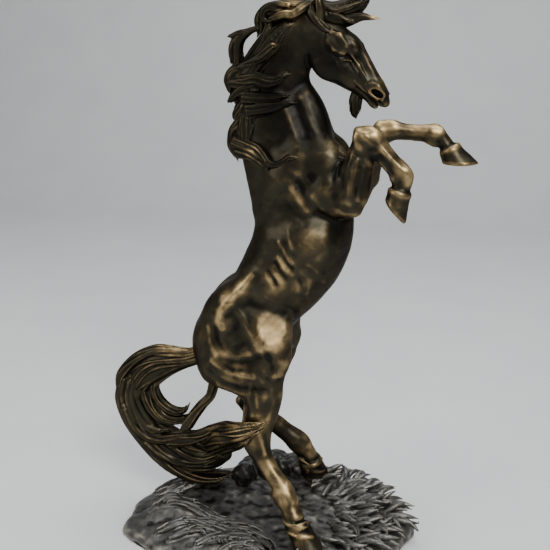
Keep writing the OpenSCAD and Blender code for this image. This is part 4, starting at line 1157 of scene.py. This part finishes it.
def bronze(name, gold=1.0, shine=0.34, tone=1.0):
    """Patinated bronze: black in the hollows, olive brown on the flesh, gold where rubbed, plus painted
    highlights and shade.
    """
    s = Shader(name)
    blotch, streak, fine = s.noise(24, 4, 0.6, 0.4), s.noise(70, 4, 0.6, 0.8), s.noise(300, 3, 0.6)
    ridge, rub = s.attribute("ridge"), s.attribute("rub")
    colour = s.blend(s.remap(blotch, 0.34, 0.68), rgba(DARK, tone), rgba(FLESH, tone))
    # Brown on the ridges and where rubbed, and a painted highlight where the rub numbers mark a lit place.
    warm_wear_and_highlight = s.math("ADD", s.remap(rub, 0.05, 0.7), s.remap(ridge, 0.56, 0.95, 0, 0.6 * gold))
    warm_wear_and_highlight = s.math("MULTIPLY", warm_wear_and_highlight, s.remap(streak, 0.35, 0.6, 0.45, 1.0))
    colour = s.blend(warm_wear_and_highlight, colour, rgba(BROWN_WEAR_AND_HIGHLIGHT, tone))
    edge = s.remap(ridge, 0.68, 1.0, 0.0, 1.0)
    # Gold where rubbed bright, and a painted highlight where a lit place is listed, such as the haunch
    # facet.
    bare_and_highlit = s.math("MULTIPLY", s.remap(rub, 0.1, 0.9), s.remap(ridge, 0.48, 0.78, 0.10, 1.0))
    wear_and_highlight = s.math("ADD", s.math("MULTIPLY", edge, 0.35 * gold), s.math("MULTIPLY", bare_and_highlit, 0.95))
    wear_and_highlight = s.math("MULTIPLY", wear_and_highlight, s.remap(streak, 0.38, 0.60, 0.25, 1.0))
    colour = s.blend(wear_and_highlight, colour, rgba(GOLD_WEAR_AND_HIGHLIGHT))
    # Black where the patina gathers in the hollows, and painted shade where the rub numbers fall below 0.
    hollow = s.math("ADD", s.remap(ridge, 0.43, 0.15, 0, 0.85), s.remap(rub, -0.05, -0.8, 0, 0.75))
    colour = s.blend(hollow, colour, rgba(HOLLOW_AND_SHADE_BLACK))
    rough = s.remap(streak, 0.3, 0.7, shine - 0.04, shine + 0.14)
    bump = s.bump(fine, 0.25, 0.0003, s.bump(blotch, 0.4, 0.0014))
    return s.done(Base_Color=colour, Metallic=0.85, Roughness=rough, Coat_Weight=0.08, Coat_Roughness=0.4,
                  Specular_Tint=rgba(GLINT), Normal=bump)


def ground_bronze(name, tone=1.0):
    """The grey-black patina of the base, with tips rubbed bright; a tone below 1 darkens it as painted
    shade.
    """
    s = Shader(name)
    blotch, fine = s.noise(55, 5, 0.65, 0.3), s.noise(420, 4, 0.7)
    ridge = s.attribute("ridge")
    colour = s.blend(s.remap(blotch, 0.3, 0.75), rgba(SLATE, tone), rgba(ASH, tone))
    colour = s.blend(s.remap(ridge, 0.62, 1.0, 0, 0.6 * tone), colour, rgba(WORN_ASH))
    colour = s.blend(s.remap(ridge, 0.46, 0.2, 0, 0.9), colour, rgba(CREVICE))
    rough = s.remap(fine, 0.3, 0.7, 0.34, 0.50)
    bump = s.bump(fine, 0.4, 0.0005, s.bump(blotch, 0.4, 0.0012))
    return s.done(Base_Color=colour, Metallic=0.8, Roughness=rough, Normal=bump)


def cast_inside(name):
    """Rough cast bronze that was never finished."""
    s = Shader(name)
    spots = s.noise(160, 4, 0.7)
    colour = s.blend(s.remap(spots, 0.35, 0.7), (0.10, 0.065, 0.035, 1), (0.19, 0.13, 0.07, 1))
    return s.done(Base_Color=colour, Metallic=0.8, Roughness=s.remap(spots, 0.3, 0.7, 0.5, 0.75),
                  Normal=s.bump(spots, 0.5, 0.0008))


def zinc_steel(name):
    """Zinc-plated steel."""
    s = Shader(name)
    spots = s.noise(300, 3, 0.6)
    colour = s.blend(s.remap(spots, 0.4, 0.7), (0.44, 0.44, 0.43, 1), (0.60, 0.59, 0.56, 1))
    return s.done(Base_Color=colour, Metallic=1.0, Roughness=s.remap(spots, 0.3, 0.7, 0.28, 0.45),
                  Normal=s.bump(s.noise(1400, 2), 0.2, 0.0002))


def felt(name):
    """Dark green felt."""
    s = Shader(name)
    tuft = s.noise(900, 5, 0.8)
    colour = s.blend(s.remap(tuft, 0.3, 0.7), (0.010, 0.016, 0.011, 1), (0.026, 0.036, 0.026, 1))
    return s.done(Base_Color=colour, Metallic=0.0, Roughness=s.remap(tuft, 0.2, 0.8, 0.88, 1.0),
                  Normal=s.bump(tuft, 0.8, 0.0006))


def floor_paint(name):
    """Pale matt paint."""
    s = Shader(name)
    mottle = s.noise(7, 4, 0.6)
    colour = s.blend(s.remap(mottle, 0.3, 0.7), (0.62, 0.63, 0.635, 1), (0.66, 0.665, 0.665, 1))
    return s.done(Base_Color=colour, Roughness=0.6)


# ---- Pieces ----

# Places made bright, both rubbed by hands and painted highlights where light falls: centre, reach, how
# strongly
RUBBED_AND_HIGHLIT = [((94, -40, 438), 9, 1.0), ((108, -40, 436), 9, 1.0), ((118, -42, 418), 10, 0.7),
          ((130, -42, 404), 9, 0.8), ((138, -38, 396), 8, 0.9), ((128, -42, 376), 8, 0.3),
          ((114, 30, 438), 12, 0.8), ((146, 30, 437), 14, 0.5), ((165, 30, 434), 9, 0.8),
          ((178, 30, 412), 9, 0.3), ((-4, -50, 122), 9, 0.4), ((12, -59, 97), 11, 1.0),
          ((24, -66, 80), 12, 1.0), ((34, -70, 68), 12, 1.0), ((46, -82, 40), 8, 0.8),
          ((-40, -36, 250), 9, 0.9), ((-34, -36, 268), 8, 0.7), ((-20, -36, 280), 8, 0.8),
          ((-56, -24, 226), 9, 0.7), ((-40, -40, 210), 9, 0.9), ((-24, -42, 194), 12, 0.8),
          ((11, -44, 236), 17, 1.0), ((32, -36, 244), 7, 0.8), ((34, -40, 370), 8, 0.9),
          ((98, 0, 494), 8, 0.5), ((106, -10, 474), 8, 0.9), ((73, -16, 503), 6, 1.2),
          ((-84, -2, 200), 12, 0.7), ((-104, -4, 202), 13, 1.0), ((-22, -58, 134), 16, 0.9),
          ((-2, -62, 144), 14, 0.9), ((-50, -20, 112), 18, 0.5), ((36, 48, 66), 9, 0.8),
          ((24, -40, 306), 10, 0.7), ((14, -40, 288), 12, 0.7), ((38, -40, 284), 8, 0.8),
          ((50, -38, 330), 14, 0.4), ((70, -40, 378), 10, 0.4), ((104, -6, 536), 8, 0.8),
          ((-10, -6, 480), 9, 0.4), ((10, -20, 510), 7, 0.9), ((20, -20, 484), 9, 0.9),
          ((30, -20, 462), 9, 0.7), ((-10, -26, 414), 8, 0.7), ((38, -34, 411), 6, 0.9),
          ((24, -14, 540), 12, 0.9), ((0, -46, 166), 7, 0.5)]
# Places darkened with painted shade, where the horse lies in shadow: centre, reach, how strongly
PAINTED_SHADE = [((10, -18, 500), 26, 0.6), ((26, -18, 476), 26, 0.7), ((6, -18, 446), 24, 0.6),
          ((52, -14, 500), 18, 0.7), ((60, -14, 484), 18, 0.7), ((48, -18, 452), 16, 0.8),
          ((32, -18, 440), 20, 0.8), ((66, -10, 440), 18, 0.5), ((-52, -10, 262), 20, 0.5),
          ((70, -20, 300), 26, 0.5), ((76, -10, 340), 22, 0.5), ((88, -40, 396), 20, 0.6),
          ((52, -32, 402), 20, 0.4), ((-6, -48, 172), 14, 0.3), ((2, -46, 90), 9, 0.6),
          ((96, -40, 380), 16, 0.4), ((84, -10, 500), 20, 0.3), ((-10, 45, 130), 26, 0.4),
          ((8, 0, 350), 20, 0.4)]


def nearness(points, centre, reach):
    """1 at the centre, fading to nothing beyond its reach."""
    return np.exp(-(((points - centre) / reach) ** 2).sum(1))


def measure(points, faces, spread):
    """Ridge and rub of each vertex.

    Ridge is how far it stands out of its surroundings, from 0 to 1, with 0.5 for flat.
    The rub number is above 0 where hands wore the patina bright and where a highlight is painted, and below
    0 where shade is painted.
    """
    edges = neighbours(points, faces)
    soft = relax(points.astype(np.float32), edges, spread)
    out = relax(((points - soft) * normals_of(points, faces[:, :3])).sum(1, keepdims=True), edges, 2)
    out = (out - 0.6 * relax(out, edges, 2 * spread))[:, 0]
    ridge = np.clip(0.5 + out / (0.5 + 0.0175 * spread), 0, 1)
    rub = np.zeros(len(points))
    for centre, reach, strength in RUBBED_AND_HIGHLIT:
        rub = np.maximum(rub, strength * nearness(points, centre, reach))
    # Rubbed wear and painted highlights are both kept off the hollows.
    rub *= np.clip((ridge - 0.25) / 0.2, 0, 1)        # hands don't reach into hollows
    # Painted shade: the listed places in shadow are pushed below 0, towards black.
    for centre, reach, strength in PAINTED_SHADE:
        rub -= strength * nearness(points, centre, reach)
    return ridge, rub


def stroke_distance(points, line):
    """How far each point is, seen from the side, from a line of (x, z)."""
    x, z = points[:, 0], points[:, 2]
    best = np.full(len(points), FAR)
    for (x0, z0), (x1, z1) in zip(line[:-1], line[1:]):
        dx, dz = x1 - x0, z1 - z0
        t = np.clip(((x - x0) * dx + (z - z0) * dz) / (dx * dx + dz * dz), 0, 1)
        best = np.minimum(best, np.hypot(x - x0 - t * dx, z - z0 - t * dz))
    return best


def flattened(points, normals):
    """The points drawn towards a flat plane where a facet is worked on each flank."""
    (cx, cz), reach, flat = FACET
    for side in (-1, 1):
        way = unit(np.array(FACET_WAY) * (1, side, 1))
        near = np.exp(-(np.hypot(points[:, 0] - cx, points[:, 2] - cz) / reach) ** 4)
        near = near * (normals @ way > 0.5) * (points[:, 1] * side > 8)
        middle = (points * near[:, None]).sum(0) / max(near.sum(), TINY)
        points = points - (flat * near * ((points - middle) @ way))[:, None] * way
    return points


def modelled(points, tris):
    """The points pushed out or in by the modelling strokes, and lightly by the tool all over."""
    normals = normals_of(points, tris)
    push = np.zeros(len(points))
    for line, width, height in STROKES:
        push += 0.85 * height * np.exp(-(stroke_distance(points, line) / (1.2 * width)) ** 2)
    push *= np.clip(np.abs(normals[:, 1]) * 1.7 - 0.2, 0, 1)       # only where the surface faces sideways
    points = flattened(points + normals * push[:, None], normals)
    x, y, z = points.T
    marks = 0.13 * ripple(x, y, 16, 21, z) + 0.045 * ripple(x, y, 7, 22, z)
    return points + normals * marks[:, None]


def add_attributes(piece, **values):
    """Numbers on the vertices that the materials read."""
    for name, numbers in values.items():
        layer = piece.data.attributes.new(name, "FLOAT", "POINT")
        layer.data.foreach_set("value", np.ascontiguousarray(numbers, np.float32))


def surface_of(field):
    """Points, in mm, and quads of the metal's surface."""
    band = 3 * field.step
    grid = openvdb.FloatGrid(band)
    grid.copyFromArray(np.clip(field.f, -band, band).astype(np.float32))
    points, quads = grid.convertToQuads(0.0)
    return (points + field.first) * field.step, quads.astype(np.int64)


def finish_piece(piece, node, material):
    """Puts a made piece in the place of its CAD node."""
    piece.data.materials.append(material)
    piece.data.shade_smooth()
    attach(piece, "root")
    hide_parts(node)


def cast_piece(name, field, material, spread=30):
    """One closed casting straight from its field."""
    points, quads = surface_of(field)
    points = relax(points.astype(np.float64), neighbours(points, quads), 1)
    ridge, rub = measure(points, quads, spread)
    piece = mesh_from(name + "_cast", points * MM, quads)
    add_attributes(piece, ridge=ridge, rub=rub)
    finish_piece(piece, name, material)


def split_tris(quads):
    """Two triangles for each quad."""
    return np.concatenate([quads[:, [0, 1, 2]], quads[:, [0, 2, 3]]])


def horse_pieces(field, wanted, material, spread):
    """Cuts one field's surface at the welds and makes the wanted sections of it."""
    points, quads = surface_of(field)
    tris = split_tris(quads)
    edges = neighbours(points, quads)
    points = modelled(relax(points.astype(np.float64), edges, 3), tris)
    points = relax(points, edges, 1)
    for weld in WELDS.values():
        points, tris = cut_at(points, tris, weld)
    ridge, rub = measure(points, tris, spread)
    smooth = normals_of(points, tris)
    kind = section_of(points[tris].mean(1))
    for index in wanted:
        faces = tris[kind == index]
        used, faces = np.unique(faces, return_inverse=True)
        faces = faces.reshape(-1, 3)
        p, n = points[used], smooth[used]
        full, caps = cap_loops(p, faces)
        everything = np.vstack([faces, caps]) if len(caps) else faces
        name = SECTIONS[index]
        piece = mesh_from(name + "_cast", full * MM, everything)
        more = len(full) - len(p)
        add_attributes(piece, ridge=np.pad(ridge[used], (0, more), constant_values=0.5),
                       rub=np.pad(rub[used], (0, more)))
        finish_piece(piece, name, material)
        corner = np.vstack([n, np.zeros((more, 3))])[everything.ravel()]
        if len(caps):
            corner[-3 * len(caps):] = np.repeat(units(facing(full, caps)), 3, axis=0)
        piece.data.normals_split_custom_set(corner)


# ---- Camera, light and floor ----

CAMERA_PLACE, CAMERA_LENS = (0.155, -0.8358, 0.528), 56.9
CAMERA_TILT, CAMERA_TURN = 74, 10       # degrees from straight down, and to the left


def add_camera():
    data = bpy.data.cameras.new("camera")
    data.lens = CAMERA_LENS
    data.clip_end = 20
    camera = bpy.data.objects.new("camera", data)
    camera.location = CAMERA_PLACE
    camera.rotation_euler = (math.radians(CAMERA_TILT), 0, math.radians(CAMERA_TURN))
    bpy.context.collection.objects.link(camera)
    bpy.context.scene.camera = camera


def add_light(name, place, aim, size, power, colour):
    """A soft box at a place, aimed at a point; metres and watts."""
    data = bpy.data.lights.new(name, "AREA")
    data.shape = "RECTANGLE"
    data.size, data.size_y = size
    data.energy = power
    data.color = colour
    lamp = bpy.data.objects.new(name, data)
    lamp.location = place
    lamp.rotation_euler = (Vector(aim) - Vector(place)).to_track_quat("-Z", "Y").to_euler()
    bpy.context.collection.objects.link(lamp)


def add_floor():
    """A pale floor that curves up into a wall behind the horse."""
    far, near, half, bend, high = 2.1, -3.0, 4.0, 0.6, 4.0
    turns = np.linspace(0, math.pi / 2, 9)
    curve = [(far - bend + bend * math.sin(t), bend - bend * math.cos(t)) for t in turns]
    outline = [(near, 0)] + curve + [(far, high)]
    points = [(x, y, z) for y, z in outline for x in (-half, half)]
    faces = [(2 * i, 2 * i + 1, 2 * i + 3, 2 * i + 2) for i in range(len(outline) - 1)]
    floor = mesh_from("floor", np.array(points), np.array(faces))
    floor.data.shade_smooth()
    floor.data.materials.append(floor_paint("floor_paint"))


def add_world():
    """A dim, cool sky."""
    world = bpy.data.worlds.new("studio")
    bpy.context.scene.world = world
    world.use_nodes = True
    colour, strength = world.node_tree.nodes["Background"].inputs[:2]
    colour.default_value = (0.80, 0.84, 0.90, 1)
    strength.default_value = 0.21


def add_lights():
    add_light("key", (0.85, -1.6, 1.6), (0, 0, 0.28), (0.9, 0.9), 46, (1.0, 0.99, 0.97))
    add_light("left", (-1.5, -0.9, 1.1), (0, 0, 0.3), (0.7, 1.3), 14, (1.0, 0.97, 0.92))
    add_light("top", (0.1, 0.2, 1.9), (0, 0, 0.2), (1.8, 1.4), 34, (0.96, 0.98, 1.0))


# The corners of each field of the horse, and over how many rounds of smoothing its relief is measured
HORSE_BOX, HORSE_SPREAD = ((-90, -98, 14), (206, 92, 548)), 40
HEAD_BOX, HEAD_SPREAD = ((0, -40, 432), (130, 40, 560)), 60
HAIR_SPREAD, GRASS_SPREAD = 14, 12


def build():
    add_camera()
    add_world()
    add_lights()
    add_floor()
    body = bronze("bronze_body")
    tail, mane = bronze("bronze_tail", 0.65, 0.35, 0.9), bronze("bronze_mane", 0.4, 0.34, 0.6)
    rough = ground_bronze("bronze_ground")
    head = SECTIONS.index("head")
    horse_pieces(horse_field(*HORSE_BOX, BODY_STEP), range(head), body, HORSE_SPREAD)
    horse_pieces(horse_field(*HEAD_BOX, HEAD_STEP), [head], body, HEAD_SPREAD)
    for name in EARS:
        cast_piece(name, build_ear(name), body)
    for name in HAIR:
        colour = tail if name.startswith("tail") else mane
        cast_piece(name, build_hair(name), colour, HAIR_SPREAD)
    cast_piece("base_shell", build_ground(), rough)
    # The mound's copy of the ground finish is darkened to tone 0.35 as painted shade, as it stands in
    # shadow behind the far hoof.
    cast_piece("rock_mound", build_mound(), ground_bronze("bronze_mound_painted_shade", 0.35))
    for name in ("grass_front", "grass_left", "grass_right"):
        cast_piece(name, build_grass(name), rough, GRASS_SPREAD)
    finish_fixings()


def finish_fixings():
    """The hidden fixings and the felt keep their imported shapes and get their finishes."""
    inner, steel, cloth = cast_inside("bronze_inner"), zinc_steel("steel"), felt("felt")
    kept = {"base_felt": cloth, "fixing_studs": steel, "fixing_washers": steel, "fixing_nuts": steel,
            "waist_sleeve": inner, "neck_sleeve": inner, "foreleg_dowels": steel, "head_dowel": steel}
    for name, material in kept.items():
        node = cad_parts[name]
        node.data.materials.clear()
        node.data.materials.append(material)


build()
